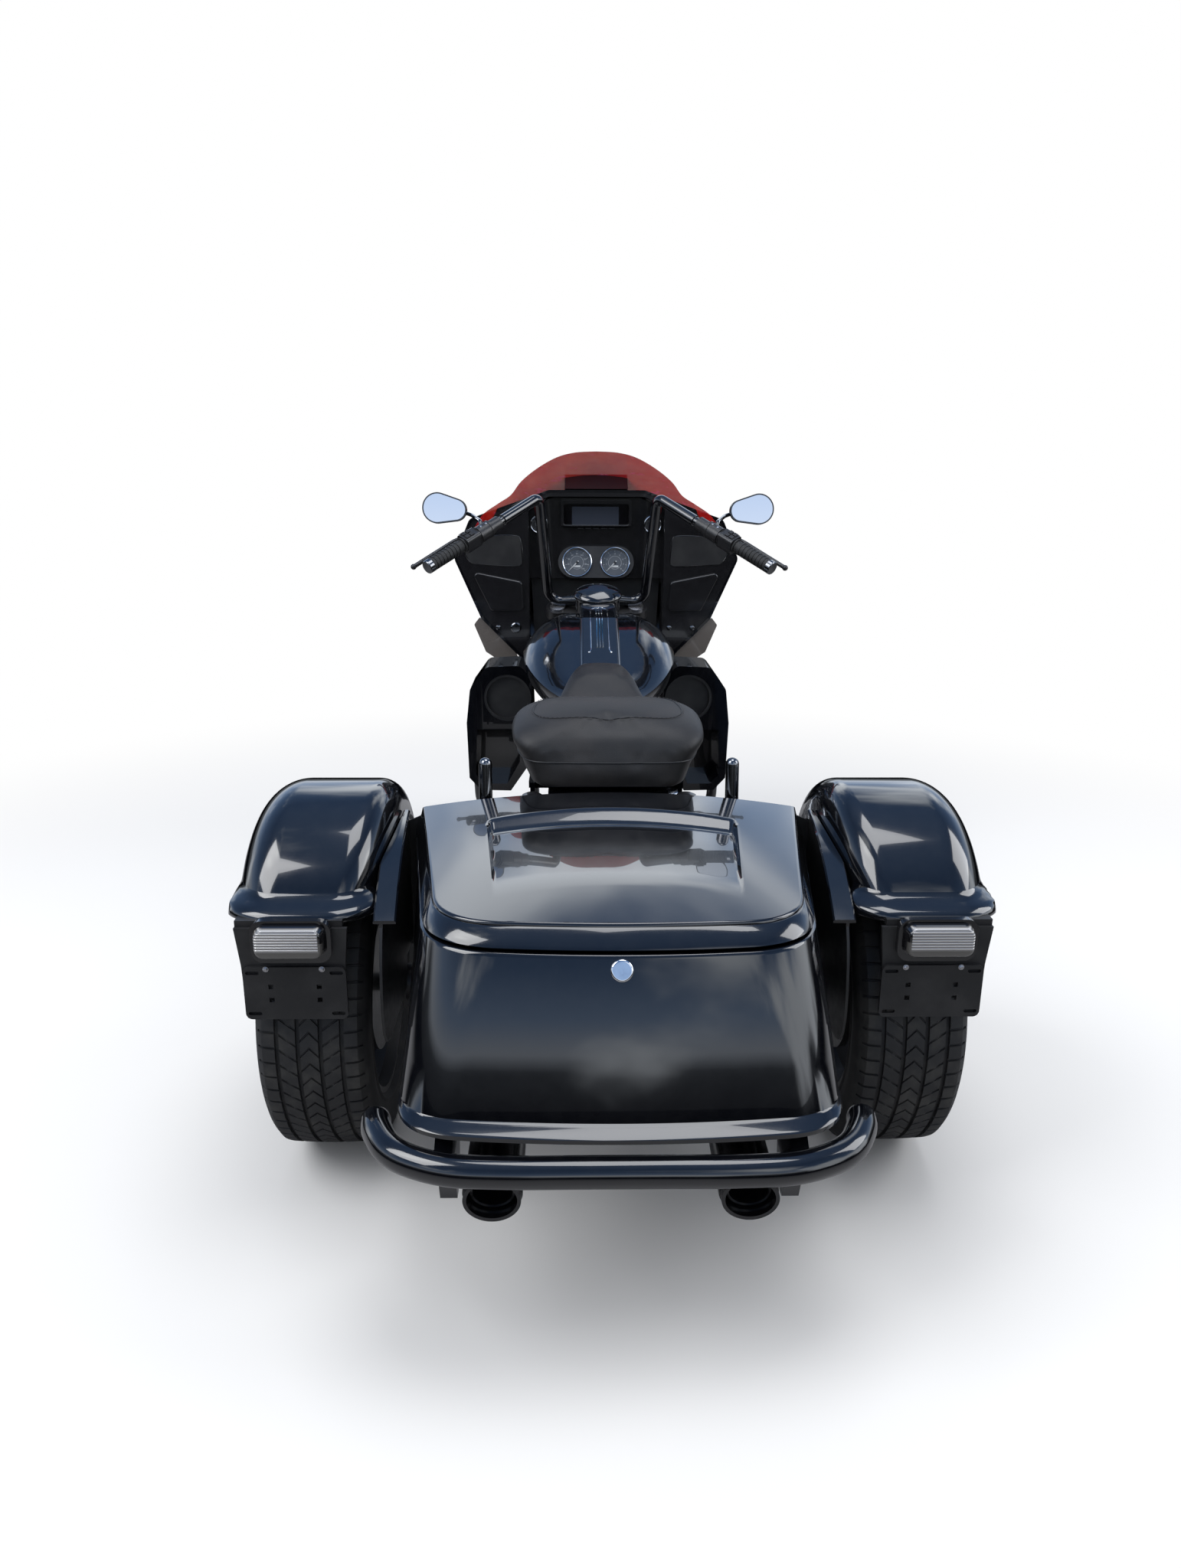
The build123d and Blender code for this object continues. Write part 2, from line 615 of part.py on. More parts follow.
# Drive belt and its two pulleys on the left
BELT_X = -82
BELT_HALF = 10
DRIVE_CENTRE = (-40, 330)
with BuildPart() as belt:
    with BuildSketch(side_plane(BELT_X - BELT_HALF)):
        with Locations(DRIVE_CENTRE):
            Circle(48)
        with Locations((REAR_AXLE_Y, REAR_TYRE_RADIUS)):
            Circle(106)
        make_hull()
        with Locations(DRIVE_CENTRE):
            Circle(42, mode=Mode.SUBTRACT)
        with Locations((REAR_AXLE_Y, REAR_TYRE_RADIUS)):
            Circle(100, mode=Mode.SUBTRACT)
        with BuildLine():
            Polyline((-40, 372), (REAR_AXLE_Y, 425), (REAR_AXLE_Y, 225), (-40, 288), (-40, 372))
        make_face(mode=Mode.SUBTRACT)
    extrude(amount=2 * BELT_HALF)
with BuildPart() as pulleys:
    add(rod((BELT_X - BELT_HALF, REAR_AXLE_Y, REAR_TYRE_RADIUS), (BELT_X + BELT_HALF, REAR_AXLE_Y, REAR_TYRE_RADIUS), 200))
    add(rod((BELT_X + BELT_HALF, REAR_AXLE_Y, REAR_TYRE_RADIUS), (-52, REAR_AXLE_Y, REAR_TYRE_RADIUS), 120))
    add(rod((BELT_X - 16, REAR_AXLE_Y, REAR_TYRE_RADIUS), (-52, REAR_AXLE_Y, REAR_TYRE_RADIUS), HOUSING_DIA),
        mode=Mode.SUBTRACT)
    add(rod((BELT_X - BELT_HALF, *DRIVE_CENTRE), (BELT_X + BELT_HALF, *DRIVE_CENTRE), 84))
keep("belt_drive", joined(belt.part, pulleys.part))

# Engine: crankcase, two finned cylinders 45 degrees apart, covers, gearbox and air cleaner
CRANK_Y = 236
CRANK_Z = 284
CYLINDER_LEAN = 22.5
CASE_HALF = 92
with BuildPart() as crankcase:
    with BuildSketch(side_plane(-CASE_HALF)):
        with Locations((CRANK_Y, CRANK_Z)):
            Circle(120)
        with Locations((CRANK_Y + 29, CRANK_Z + 69), (CRANK_Y - 29, CRANK_Z + 69)):
            Circle(62)
        with Locations((104, 240)):
            Circle(46)
        make_hull()
    extrude(amount=2 * CASE_HALF)
    fillet(crankcase.faces().filter_by(Axis.X).edges(), radius=8)

with BuildPart() as gearbox:
    with BuildSketch(side_plane(-70)):
        with BuildLine():
            Polyline((57, 200), (-86, 200), (-118, 270), (-112, 400), (-40, 452), (57, 420), (57, 200))
        make_face()
    extrude(amount=162)
    fillet(gearbox.edges().filter_by(Axis.X).group_by(Axis.Y)[0], radius=18)
    fillet(gearbox.faces().sort_by(Axis.X)[-1].edges().sort_by(Axis.Y)[:-1], radius=12)


def cylinder_plane(lean, reach):
    """A plane square to a cylinder's axis, at a reach from the crank."""
    turn = radians(lean)
    return Plane(origin=(0, CRANK_Y + reach * sin(turn), CRANK_Z + reach * cos(turn)),
                 x_dir=(1, 0, 0), z_dir=(0, sin(turn), cos(turn)))


FIN_FIRST = 152
FIN_PITCH = 14.5
FIN_COUNT = 9
FIN_THICK = 6
HEAD_FIRST = FIN_FIRST + FIN_PITCH * FIN_COUNT
with BuildPart() as cylinders:
    for lean in (-CYLINDER_LEAN, CYLINDER_LEAN):
        with BuildSketch(cylinder_plane(lean, 128)):
            Circle(50)
        extrude(amount=HEAD_FIRST + 50 - 128)
        for fin in range(FIN_COUNT):
            with BuildSketch(cylinder_plane(lean, FIN_FIRST + fin * FIN_PITCH)):
                RectangleRounded(146, 128, 34)
            extrude(amount=FIN_THICK)
        for fin in range(4):
            with BuildSketch(cylinder_plane(lean, HEAD_FIRST + fin * FIN_PITCH)):
                RectangleRounded(154, 122, 20)
            extrude(amount=FIN_THICK + (8 if fin == 3 else 0))
    add(crankcase.part, mode=Mode.SUBTRACT)
keep("cylinders", cylinders.part)

ROCKER_FIRST = HEAD_FIRST + 3 * FIN_PITCH + FIN_THICK + 8
with BuildPart() as rocker_covers:
    for lean in (-CYLINDER_LEAN, CYLINDER_LEAN):
        with BuildSketch(cylinder_plane(lean, ROCKER_FIRST)):
            RectangleRounded(168, 118, 22)
        extrude(amount=30)
        with BuildSketch(cylinder_plane(lean, ROCKER_FIRST + 30)):
            RectangleRounded(150, 100, 22)
        extrude(amount=22, taper=12)
    fillet(rocker_covers.edges().group_by(Axis.Z)[-1], radius=4)
keep("rocker_covers", rocker_covers.part)

with BuildPart() as pushrods:
    for lean, start in ((CYLINDER_LEAN, 34), (-CYLINDER_LEAN, -34)):
        turn = radians(lean)
        foot = (112, CRANK_Y + start, CRANK_Z + 96)
        head = (88, CRANK_Y + (HEAD_FIRST + 20) * sin(turn) - start * 0.6, CRANK_Z + (HEAD_FIRST - 6) * cos(turn))
        add(rod(foot, head, 24))
    with BuildSketch(side_plane(CASE_HALF)):
        with Locations((CRANK_Y, CRANK_Z)):
            Circle(104)
    extrude(amount=34, taper=8)
    fillet(pushrods.faces().sort_by(Axis.X)[-1].edges(), radius=8)
    add(cylinders.part, mode=Mode.SUBTRACT)
keep("crankcase", crankcase.part)
keep("gearbox", gearbox.part)
keep("cam_cover", pushrods.part)

with BuildPart() as primary_cover:
    with BuildSketch(side_plane(-CASE_HALF - 66)):
        with Locations((CRANK_Y, CRANK_Z)):
            Circle(92)
        with Locations((-14, 312)):
            Circle(114)
        make_hull()
    extrude(amount=64)
    fillet(primary_cover.faces().sort_by(Axis.X)[0].edges(), radius=16)
keep("primary_cover", primary_cover.part)

with BuildPart() as air_cleaner:
    with BuildSketch(side_plane(128)):
        with Locations((CRANK_Y, 520)):
            Ellipse(104, 72)
    extrude(amount=66, taper=6)
    fillet(air_cleaner.faces().sort_by(Axis.X)[-1].edges(), radius=18)
    with BuildSketch(side_plane(60)):
        with Locations((CRANK_Y, 510)):
            Circle(26)
    extrude(amount=68)
    add(cylinders.part, mode=Mode.SUBTRACT)
keep("air_cleaner", air_cleaner.part)

# Engine guard, footboards and pedals
with BuildPart() as guard:
    add(tube([(-104, 622, 600), (-330, 628, 700), (-382, 628, 560), (-372, 622, 330), (-300, 606, 226),
              (-132, 584, 232)], [70, 90, 120, 60], 32))
    add(tube([(104, 622, 600), (330, 628, 700), (382, 628, 560), (372, 622, 330), (300, 606, 226),
              (132, 584, 232)], [70, 90, 120, 60], 32))
    add(frame.part, mode=Mode.SUBTRACT)
keep("engine_guard", guard.part)

with BuildPart() as footboard:
    with BuildSketch(Plane.XY.offset(252)):
        with Locations((296, 330)):
            RectangleRounded(112, 300, 38)
    extrude(amount=12)
    fillet(footboard.edges().group_by(Axis.Z)[-1], radius=4)
    add(rod((140, 558, 286), (262, 440, 256), 20))
    add(tube([(140, 210, 170), (240, 210, 172), (268, 214, 258)], [24], 16))
    with BuildSketch(Plane.XY.offset(394)):
        with Locations((258, -158)):
            RectangleRounded(104, 60, 20)
    extrude(amount=14)
    add(rod((140, -158, 400), (215, -158, 400), 22))

with BuildPart() as pedals:
    add(tube([(245, 440, 256), (246, 500, 268), (262, 540, 300), (290, 540, 322)], [40, 30], 14))
    with BuildSketch(Plane.XY.offset(316)):
        with Locations((300, 540)):
            RectangleRounded(76, 46, 12)
    extrude(amount=10)
    add(tube([(-245, 440, 256), (-244, 500, 266), (-250, 530, 290), (-290, 536, 305)], [40, 24], 12))
    add(rod((-262, 536, 305), (-318, 536, 305), 24))
    add(tube([(-262, 200, 258), (-260, 130, 272), (-250, 112, 300), (-290, 112, 312)], [30, 24], 12))
    add(rod((-262, 112, 312), (-318, 112, 312), 24))
with BuildPart() as foot_controls:
    add(both_sides(footboard.part))
    add(pedals.part)
    add(frame_bored.part, mode=Mode.SUBTRACT)
keep("foot_controls", foot_controls.part)

# Lower fairings with their round grilles
LOWER_REAR_Y = 420
LOWER_FRONT_Y = 606
GRILLE_X = 268
GRILLE_Z = 716
with BuildPart() as lower:
    with BuildSketch(cross_plane(LOWER_FRONT_Y)):
        with BuildLine():
            Polyline((192, 640), (196, 778), (232, 812), (330, 808), (378, 742), (390, 640), (386, 470),
                     (352, 432), (262, 430), (214, 500), (192, 640))
        make_face()
    extrude(amount=LOWER_FRONT_Y - LOWER_REAR_Y)
    fillet(lower.edges().filter_by(Axis.Y).sort_by(Axis.Z)[-4:], radius=26)
    fillet(lower.faces().sort_by(Axis.Y)[-1].edges(), radius=24)
    with BuildSketch(cross_plane(LOWER_REAR_Y)):
        with Locations((GRILLE_X, GRILLE_Z)):
            Circle(70)
    extrude(amount=-26, mode=Mode.SUBTRACT)
    with BuildSketch(cross_plane(LOWER_REAR_Y)):
        with BuildLine():
            Polyline((232, 620), (360, 620), (366, 480), (340, 452), (272, 452), (234, 520), (232, 620))
        make_face()
    extrude(amount=-90, mode=Mode.SUBTRACT)
with BuildPart() as lower_grille:
    with BuildSketch(cross_plane(LOWER_REAR_Y + 26)):
        with Locations((GRILLE_X, GRILLE_Z)):
            Circle(70)
    extrude(amount=8)
    with BuildSketch(cross_plane(LOWER_REAR_Y + 18)):
        with Locations((GRILLE_X, GRILLE_Z)):
            Circle(70)
            Circle(62, mode=Mode.SUBTRACT)
    extrude(amount=14)
keep("lower_fairings", both_sides(lower.part))


# Fuel tank, console and fuel door
# Columns: y, half width, bottom, widest height, top
TANK_SECTIONS = (
    (50, 92, 742, 790, 826),
    (190, 176, 728, 822, 868),
    (360, 216, 722, 858, 935),
    (500, 190, 736, 868, 954),
    (585, 88, 775, 862, 918),
)
with BuildPart() as fuel_tank:
    for y, half, low, mid, top in TANK_SECTIONS:
        with BuildSketch(cross_plane(y)):
            with BuildLine():
                Line((-half * 0.62, low), (half * 0.62, low))
                ThreePointArc((half * 0.62, low), (half * 0.9, low + (mid - low) * 0.42), (half, mid))
                ThreePointArc((half, mid), (half * 0.8, mid + (top - mid) * 0.68), (half * 0.34, top))
                Line((half * 0.34, top), (-half * 0.34, top))
                ThreePointArc((-half * 0.34, top), (-half * 0.8, mid + (top - mid) * 0.68), (-half, mid))
                ThreePointArc((-half, mid), (-half * 0.9, low + (mid - low) * 0.42), (-half * 0.62, low))
            make_face()
    loft()
with BuildPart() as tunnel:
    with BuildSketch(side_plane(-30)):
        with BuildLine():
            Polyline((760, 700), (760, 912), (690, 912), (420, 852), (120, 752), (20, 730), (20, 700), (760, 700))
        make_face()
    extrude(amount=60)
with BuildPart() as fuel_tank_cut:
    add(fuel_tank.part)
    add(tunnel.part, mode=Mode.SUBTRACT)
keep("fuel_tank", fuel_tank_cut.part)

CONSOLE_HALF = 55
with BuildPart() as console:
    with BuildSketch(side_plane(-CONSOLE_HALF)):
        with BuildLine():
            Polyline((150, 840), (156, 868), (360, 962), (560, 992), (612, 974), (615, 900), (360, 900),
                     (150, 840))
        make_face()
    extrude(amount=2 * CONSOLE_HALF)
    fillet(console.edges().filter_by(lambda e: abs(abs((e @ 0.5).X) - CONSOLE_HALF) < 0.1
                                     and (e @ 0.5).Z > 905 and (e @ 0.5).Y < 612), radius=12)

FUEL_DOOR_PLANE = Plane(origin=(0, 558, 994), x_dir=(1, 0, 0), z_dir=(0, -sin(radians(24)), cos(radians(24))))
# Columns: height over the console, half width, half length
FUEL_DOOR_SECTIONS = ((4, 70, 52), (10, 72, 54), (24, 58, 42), (32, 30, 20))
with BuildPart() as fuel_door:
    for rise, half, length in FUEL_DOOR_SECTIONS:
        with BuildSketch(FUEL_DOOR_PLANE.offset(rise)):
            Ellipse(half, length)
    loft()
with BuildPart() as console_seat:
    add(console.part)
    with BuildSketch(FUEL_DOOR_PLANE.offset(-40)):
        Ellipse(66, 48)
    extrude(amount=43)
    with BuildSketch(FUEL_DOOR_PLANE.offset(3)):
        Ellipse(76, 58)
    extrude(amount=60, mode=Mode.SUBTRACT)
    add(fuel_tank.part, mode=Mode.SUBTRACT)
keep("console", console_seat.part)
keep("fuel_door", fuel_door.part)

# Seat: stepped rider and passenger pads on one base
with BuildPart() as seat:
    with BuildSketch(side_plane(-215)):
        with BuildLine():
            Spline((190, 846), (150, 870), (80, 838), (-20, 772), (-130, 748), (-220, 790), (-290, 868),
                   (-380, 890), (-480, 872), (-548, 836))
            Polyline((-548, 836), (-560, 790), (-540, 733), (-300, 720), (-60, 706), (60, 746), (190, 846))
        make_face()
    extrude(amount=430)
    with BuildSketch(Plane.XY.offset(690)):
        with BuildLine():
            Polyline((-90, 190), (-150, 20), (-190, -60), (-196, -180), (-205, -260), (-215, -400), (-205, -540),
                     (-150, -565), (150, -565), (205, -540), (215, -400), (205, -260), (196, -180), (190, -60),
                     (150, 20), (90, 190), (-90, 190))
        make_face()
    extrude(amount=240, mode=Mode.INTERSECT)
    add(fuel_tank.part, mode=Mode.SUBTRACT)
    add(console_seat.part, mode=Mode.SUBTRACT)
keep("seat", seat.part)

with BuildPart() as seat_base:
    with BuildSketch(side_plane(-128)):
        with BuildLine():
            Polyline((-170, 640), (-170, 704), (-520, 716), (-540, 690), (-520, 648), (-170, 640))
        make_face()
    extrude(amount=256)
    for side in (-1, 1):
        with BuildSketch(side_plane(side * 166 - 5)):
            with BuildLine():
                Polyline((-170, 700), (-60, 696), (-60, 560), (-150, 470), (-330, 480), (-400, 560), (-400, 700),
                         (-170, 700))
            make_face()
        extrude(amount=10)
        with BuildSketch(Plane.XY.offset(680)):
            with Locations((side * 145, -285)):
                Rectangle(60, 180)
        extrude(amount=16)
    add(frame.part, mode=Mode.SUBTRACT)
keep("side_covers", seat_base.part)

# Posts beside the seat, on a cross bar in front of the trunk
POST_X = 257
with BuildPart() as posts:
    with BuildSketch(Plane.XY.offset(700)):
        with Locations((0, -575)):
            Rectangle(2 * POST_X + 40, 34)
    extrude(amount=8)
    for side in (-1, 1):
        add(rod((side * POST_X, -574, 690), (side * POST_X, -560, 788), 28))
        with Locations((side * POST_X, -560, 788)):
            Sphere(14)
        with BuildSketch(side_plane(side * 150 - 6)):
            with Locations((-575, 670)):
                Rectangle(30, 62)
        extrude(amount=12)
    add(frame.part, mode=Mode.SUBTRACT)
keep("side_posts", posts.part)

# Fairing shell, open at the rear

# Columns: y, then x and z of the bottom corner, lower side, widest point, shoulder and top corner
FAIRING_SECTIONS = (
    (FAIRING_REAR_Y, ((235, 765), (368, 900), (450, 1090), (398, 1212), (150, 1300))),
    (900, ((218, 757), (344, 880), (428, 1072), (366, 1184), (140, 1272))),
    (1040, ((176, 764), (286, 866), (356, 1028), (292, 1116), (110, 1184))),
    (FAIRING_NOSE_Y, ((96, 832), (168, 886), (206, 964), (172, 1020), (80, 1050))),
)
CORNER_RADIUS = 26


def fairing_outline(corners, inset, radius):
    """A closed outline across the machine, mirrored left to right, with rounded corners."""
    middle = 0.5 * (corners[0][1] + corners[-1][1])
    half = [(x - inset, z + (inset if z < middle - 60 else -inset if z > middle + 60 else 0)) for x, z in corners]
    with BuildSketch() as outline:
        with BuildLine():
            Polyline(*half, *[(-x, z) for x, z in half[::-1]], half[0])
        make_face()
        fillet(outline.vertices(), radius=radius)
    return outline.sketch


with BuildPart() as fairing_outer:
    for y, corners in FAIRING_SECTIONS:
        with BuildSketch(cross_plane(y)):
            add(fairing_outline(corners, 0, CORNER_RADIUS))
    loft()
with BuildPart() as fairing_inner:
    for y, corners in FAIRING_SECTIONS:
        with BuildSketch(cross_plane(y - 0.5 if y < 1000 else y - 8 * (y == FAIRING_NOSE_Y))):
            add(fairing_outline(corners, FAIRING_WALL, CORNER_RADIUS - FAIRING_WALL))
    loft()
LAMP_PAIR_X = 84
HEADLAMP_Z = 944
HEADLAMP_DIA = 138
with BuildPart() as fairing_shell:
    add(fairing_outer.part)
    add(fairing_inner.part, mode=Mode.SUBTRACT)
    with BuildSketch(cross_plane(FAIRING_NOSE_Y + 20)):
        with Locations((0, HEADLAMP_Z)):
            RectangleRounded(2 * LAMP_PAIR_X + HEADLAMP_DIA + 4, HEADLAMP_DIA + 4, 60)
    extrude(amount=60, mode=Mode.SUBTRACT)
    with BuildSketch(Plane.XY.offset(740)):
        with Locations((0, FAIRING_REAR_Y - 10)):
            Rectangle(2 * 186, 150, align=(Align.CENTER, Align.MIN))
    extrude(amount=60, mode=Mode.SUBTRACT)
keep("fairing_shell", fairing_shell.part)

with BuildPart() as headlamp_bezel:
    with BuildSketch(cross_plane(FAIRING_NOSE_Y + 6)):
        with Locations((0, HEADLAMP_Z)):
            RectangleRounded(2 * LAMP_PAIR_X + HEADLAMP_DIA + 3, HEADLAMP_DIA + 3, 60)
        with Locations((-LAMP_PAIR_X, HEADLAMP_Z), (LAMP_PAIR_X, HEADLAMP_Z)):
            Circle(HEADLAMP_DIA / 2 - 6, mode=Mode.SUBTRACT)
    extrude(amount=30)
keep("headlamp_bezel", headlamp_bezel.part)
with BuildPart() as headlamps:
    with BuildSketch(cross_plane(FAIRING_NOSE_Y + 2)):
        with Locations((-LAMP_PAIR_X, HEADLAMP_Z), (LAMP_PAIR_X, HEADLAMP_Z)):
            Circle(HEADLAMP_DIA / 2 - 6)
    extrude(amount=50, taper=8)
    fillet(headlamps.faces().sort_by(Axis.Y)[-2:].edges(), radius=8)
keep("headlamps", headlamps.part)

# Inner fairing: side panels with grilles and doors, and a deep recess for the instruments
PANEL_THICK = 8
PANEL_BACK_Y = 900
with BuildPart() as panel:
    with BuildSketch(cross_plane(PANEL_BACK_Y)):
        add(fairing_outline(FAIRING_SECTIONS[1][1], FAIRING_WALL + 0.5, CORNER_RADIUS - FAIRING_WALL))
    with BuildSketch(cross_plane(FAIRING_REAR_Y + 2)):
        add(fairing_outline(FAIRING_SECTIONS[0][1], FAIRING_WALL + 0.5, CORNER_RADIUS - FAIRING_WALL))
    loft()
    with BuildSketch(cross_plane(PANEL_BACK_Y + 10)):
        with Locations((0, 1020)):
            Rectangle(2 * RECESS_X, 320, align=(Align.CENTER, Align.MAX))
    extrude(amount=200, mode=Mode.SUBTRACT)
    with BuildSketch(cross_plane(RECESS_Y)):
        with BuildLine():
            Polyline((-RECESS_X, 1015), (-RECESS_X, 1250), (-150, 1280), (150, 1280), (RECESS_X, 1250),
                     (RECESS_X, 1015), (-RECESS_X, 1015))
        make_face()
    extrude(amount=200, mode=Mode.SUBTRACT)
    with BuildSketch(cross_plane(PANEL_BACK_Y + 10)):
        with BuildLine():
            Polyline((-RECESS_X + 8, 1024), (-RECESS_X + 8, 1262), (RECESS_X - 8, 1262), (RECESS_X - 8, 1024),
                     (-RECESS_X + 8, 1024))
        make_face()
    extrude(amount=PANEL_BACK_Y + 10 - RECESS_Y - PANEL_THICK, mode=Mode.SUBTRACT)
    for side in (-1, 1):
        with BuildSketch(cross_plane(PANEL_BACK_Y + 10)):
            with BuildLine():
                Polyline((side * (RECESS_X + 8), 700), (side * (RECESS_X + 8), 1285), (side * 470, 1285),
                         (side * 470, 700), (side * (RECESS_X + 8), 700))
            make_face()
        extrude(amount=PANEL_BACK_Y + 10 - FAIRING_REAR_Y - 2 - PANEL_THICK, mode=Mode.SUBTRACT)

SPEAKER_OUTLINE = ((240, 1160), (336, 1160), (418, 1112), (396, 1074), (234, 1066))
GLOVE_OUTLINE = ((396, 1050), (236, 1018), (230, 926), (336, 926))
GLOVE_SWING_Z = 922


def side_outline(points, radius, inset=0):
    """An outline on the right-hand side panel with rounded corners."""
    with BuildSketch() as outline:
        with BuildLine():
            Polyline(*points, points[0])
        make_face()
        fillet(outline.vertices(), radius=radius)
        if inset:
            offset(amount=-inset)
    return outline.sketch


with BuildPart() as openings_right:
    with BuildSketch(cross_plane(FAIRING_REAR_Y + 30)):
        add(side_outline(SPEAKER_OUTLINE, 14))
        add(side_outline(GLOVE_OUTLINE, 12, 8))
    extrude(amount=60)
with BuildPart() as bin_right:
    with BuildSketch(cross_plane(FAIRING_REAR_Y + 112)):
        add(side_outline(((356, 1030), (236, 1014), (232, 930), (318, 930)), 8))
    extrude(amount=102)
    with BuildSketch(cross_plane(FAIRING_REAR_Y + 108)):
        add(side_outline(((356, 1030), (236, 1014), (232, 930), (318, 930)), 8, 3))
    extrude(amount=120, mode=Mode.SUBTRACT)
with BuildPart() as inner_fairing:
    add(panel.part)
    add(both_sides(openings_right.part), mode=Mode.SUBTRACT)
    add(both_sides(bin_right.part))

with BuildPart() as speaker:
    with BuildSketch(cross_plane(FAIRING_REAR_Y + 8)):
        add(side_outline(SPEAKER_OUTLINE, 14, 0.2))
    extrude(amount=8)
keep("speaker_grilles", joined(both_sides(speaker.part), both_sides(lower_grille.part)))

GLOVE_DOOR_Y = FAIRING_REAR_Y + 1.5
with BuildPart() as glove_door:
    with BuildSketch(cross_plane(GLOVE_DOOR_Y)):
        add(side_outline(GLOVE_OUTLINE, 12))
    extrude(amount=11)
    fillet(glove_door.faces().sort_by(Axis.Y)[0].edges(), radius=4)
for name, side in (("left", -1), ("right", 1)):
    keep("glove_door_" + name, on_side(glove_door.part, side))

# Instruments
POD_TILT = 14
pod_plane = Plane(origin=(0, 838, 1070), x_dir=(1, 0, 0),
                  z_dir=(0, -cos(radians(POD_TILT)), sin(radians(POD_TILT))))
GAUGE_X = 61
GAUGE_DIA = 98
with BuildPart() as gauge_pod:
    with BuildSketch(pod_plane.offset(-16)):
        SlotOverall(248, 106)
    extrude(amount=40, taper=4)
    with BuildSketch(pod_plane.offset(24)):
        with Locations((-GAUGE_X, 0), (GAUGE_X, 0)):
            Circle(GAUGE_DIA / 2 - 1)
    extrude(amount=-16, mode=Mode.SUBTRACT)
    with BuildSketch(cross_plane(RECESS_Y + 30)):
        with Locations((0, 1070)):
            Rectangle(300, 160)
    extrude(amount=30, mode=Mode.SUBTRACT)
keep("gauge_pod", gauge_pod.part)
with BuildPart() as gauges:
    with BuildSketch(pod_plane.offset(8)):
        with Locations((-GAUGE_X, 0), (GAUGE_X, 0)):
            Circle(GAUGE_DIA / 2 - 1.3)
    extrude(amount=4)
    with BuildSketch(pod_plane.offset(12)):
        with Locations((-GAUGE_X, 0), (GAUGE_X, 0)):
            Circle(GAUGE_DIA / 2 - 1.3)
            Circle(GAUGE_DIA / 2 - 6, mode=Mode.SUBTRACT)
    extrude(amount=15)
    with BuildSketch(cross_plane(RECESS_Y)):
        with Locations((-182, 1192), (182, 1192)):
            Circle(29)
            Circle(24, mode=Mode.SUBTRACT)
    extrude(amount=16)
    with BuildSketch(cross_plane(RECESS_Y)):
        with Locations((-182, 1192), (182, 1192)):
            Circle(29)
    extrude(amount=6)
keep("gauges", gauges.part)
SCREEN_Z = 1228
with BuildPart() as screen_unit:
    with BuildSketch(cross_plane(RECESS_Y)):
        with Locations((0, SCREEN_Z)):
            RectangleRounded(226, 84, 10)
    extrude(amount=40)
    with BuildSketch(cross_plane(RECESS_Y - 40)):
        with Locations((0, SCREEN_Z - 5)):
            RectangleRounded(206, 64, 6)
    extrude(amount=-18, mode=Mode.SUBTRACT)
    fillet(screen_unit.faces().sort_by(Axis.Y)[0].edges().filter_by(lambda e: e.length > 100), radius=2)
keep("screen_unit", screen_unit.part)

# Dash top with its vent, windshield and the air deflectors
with BuildPart() as dash_vent:
    with BuildSketch(side_plane(-100)):
        with BuildLine():
            Polyline((830, 1302), (900, 1346), (940, 1330), (1000, 1240), (960, 1240), (900, 1280), (860, 1298),
                     (830, 1302))
        make_face()
    extrude(amount=200)
    fillet(dash_vent.edges().filter_by(Axis.X).sort_by(Axis.Z)[-1], radius=10)
    add(fairing_outer.part, mode=Mode.SUBTRACT)
keep("inner_fairing", joined(inner_fairing.part, dash_vent.part))

GLASS_THICK = 4
with BuildPart() as windshield:
    with BuildSketch(Plane(origin=(0, 1030, 1180), x_dir=(1, 0, 0), z_dir=(0, -0.62, 0.78))):
        with BuildLine():
            ThreePointArc((-400, -268), (0, 0), (400, -268))
            Line((400, -268), (397, -271))
            ThreePointArc((397, -271), (0, -GLASS_THICK), (-397, -271))
            Line((-397, -271), (-400, -268))
        make_face()
    extrude(amount=330)
    with BuildSketch(cross_plane(1300)):
        with BuildLine():
            Polyline((-380, 1190), (-352, 1225), (-243, 1320), (-168, 1370), (-110, 1403), (0, 1416), (110, 1403),
                     (168, 1370), (243, 1320), (352, 1225), (380, 1190), (-380, 1190))
        make_face()
    extrude(amount=700, mode=Mode.INTERSECT)
    add(fairing_outer.part, mode=Mode.SUBTRACT)
    add(dash_vent.part, mode=Mode.SUBTRACT)
keep("windshield", windshield.part)

with BuildPart() as deflector:
    with BuildSketch(cross_plane(FAIRING_REAR_Y + 24)):
        with BuildLine():
            Polyline((372, 905), (392, 880), (356, 792), (312, 762), (248, 762), (262, 792), (372, 905))
        make_face()
    extrude(amount=18)
    fillet(deflector.edges().filter_by(Axis.Y), radius=8)
    add(fairing_outer.part, mode=Mode.SUBTRACT)
keep("air_deflectors", both_sides(deflector.part))


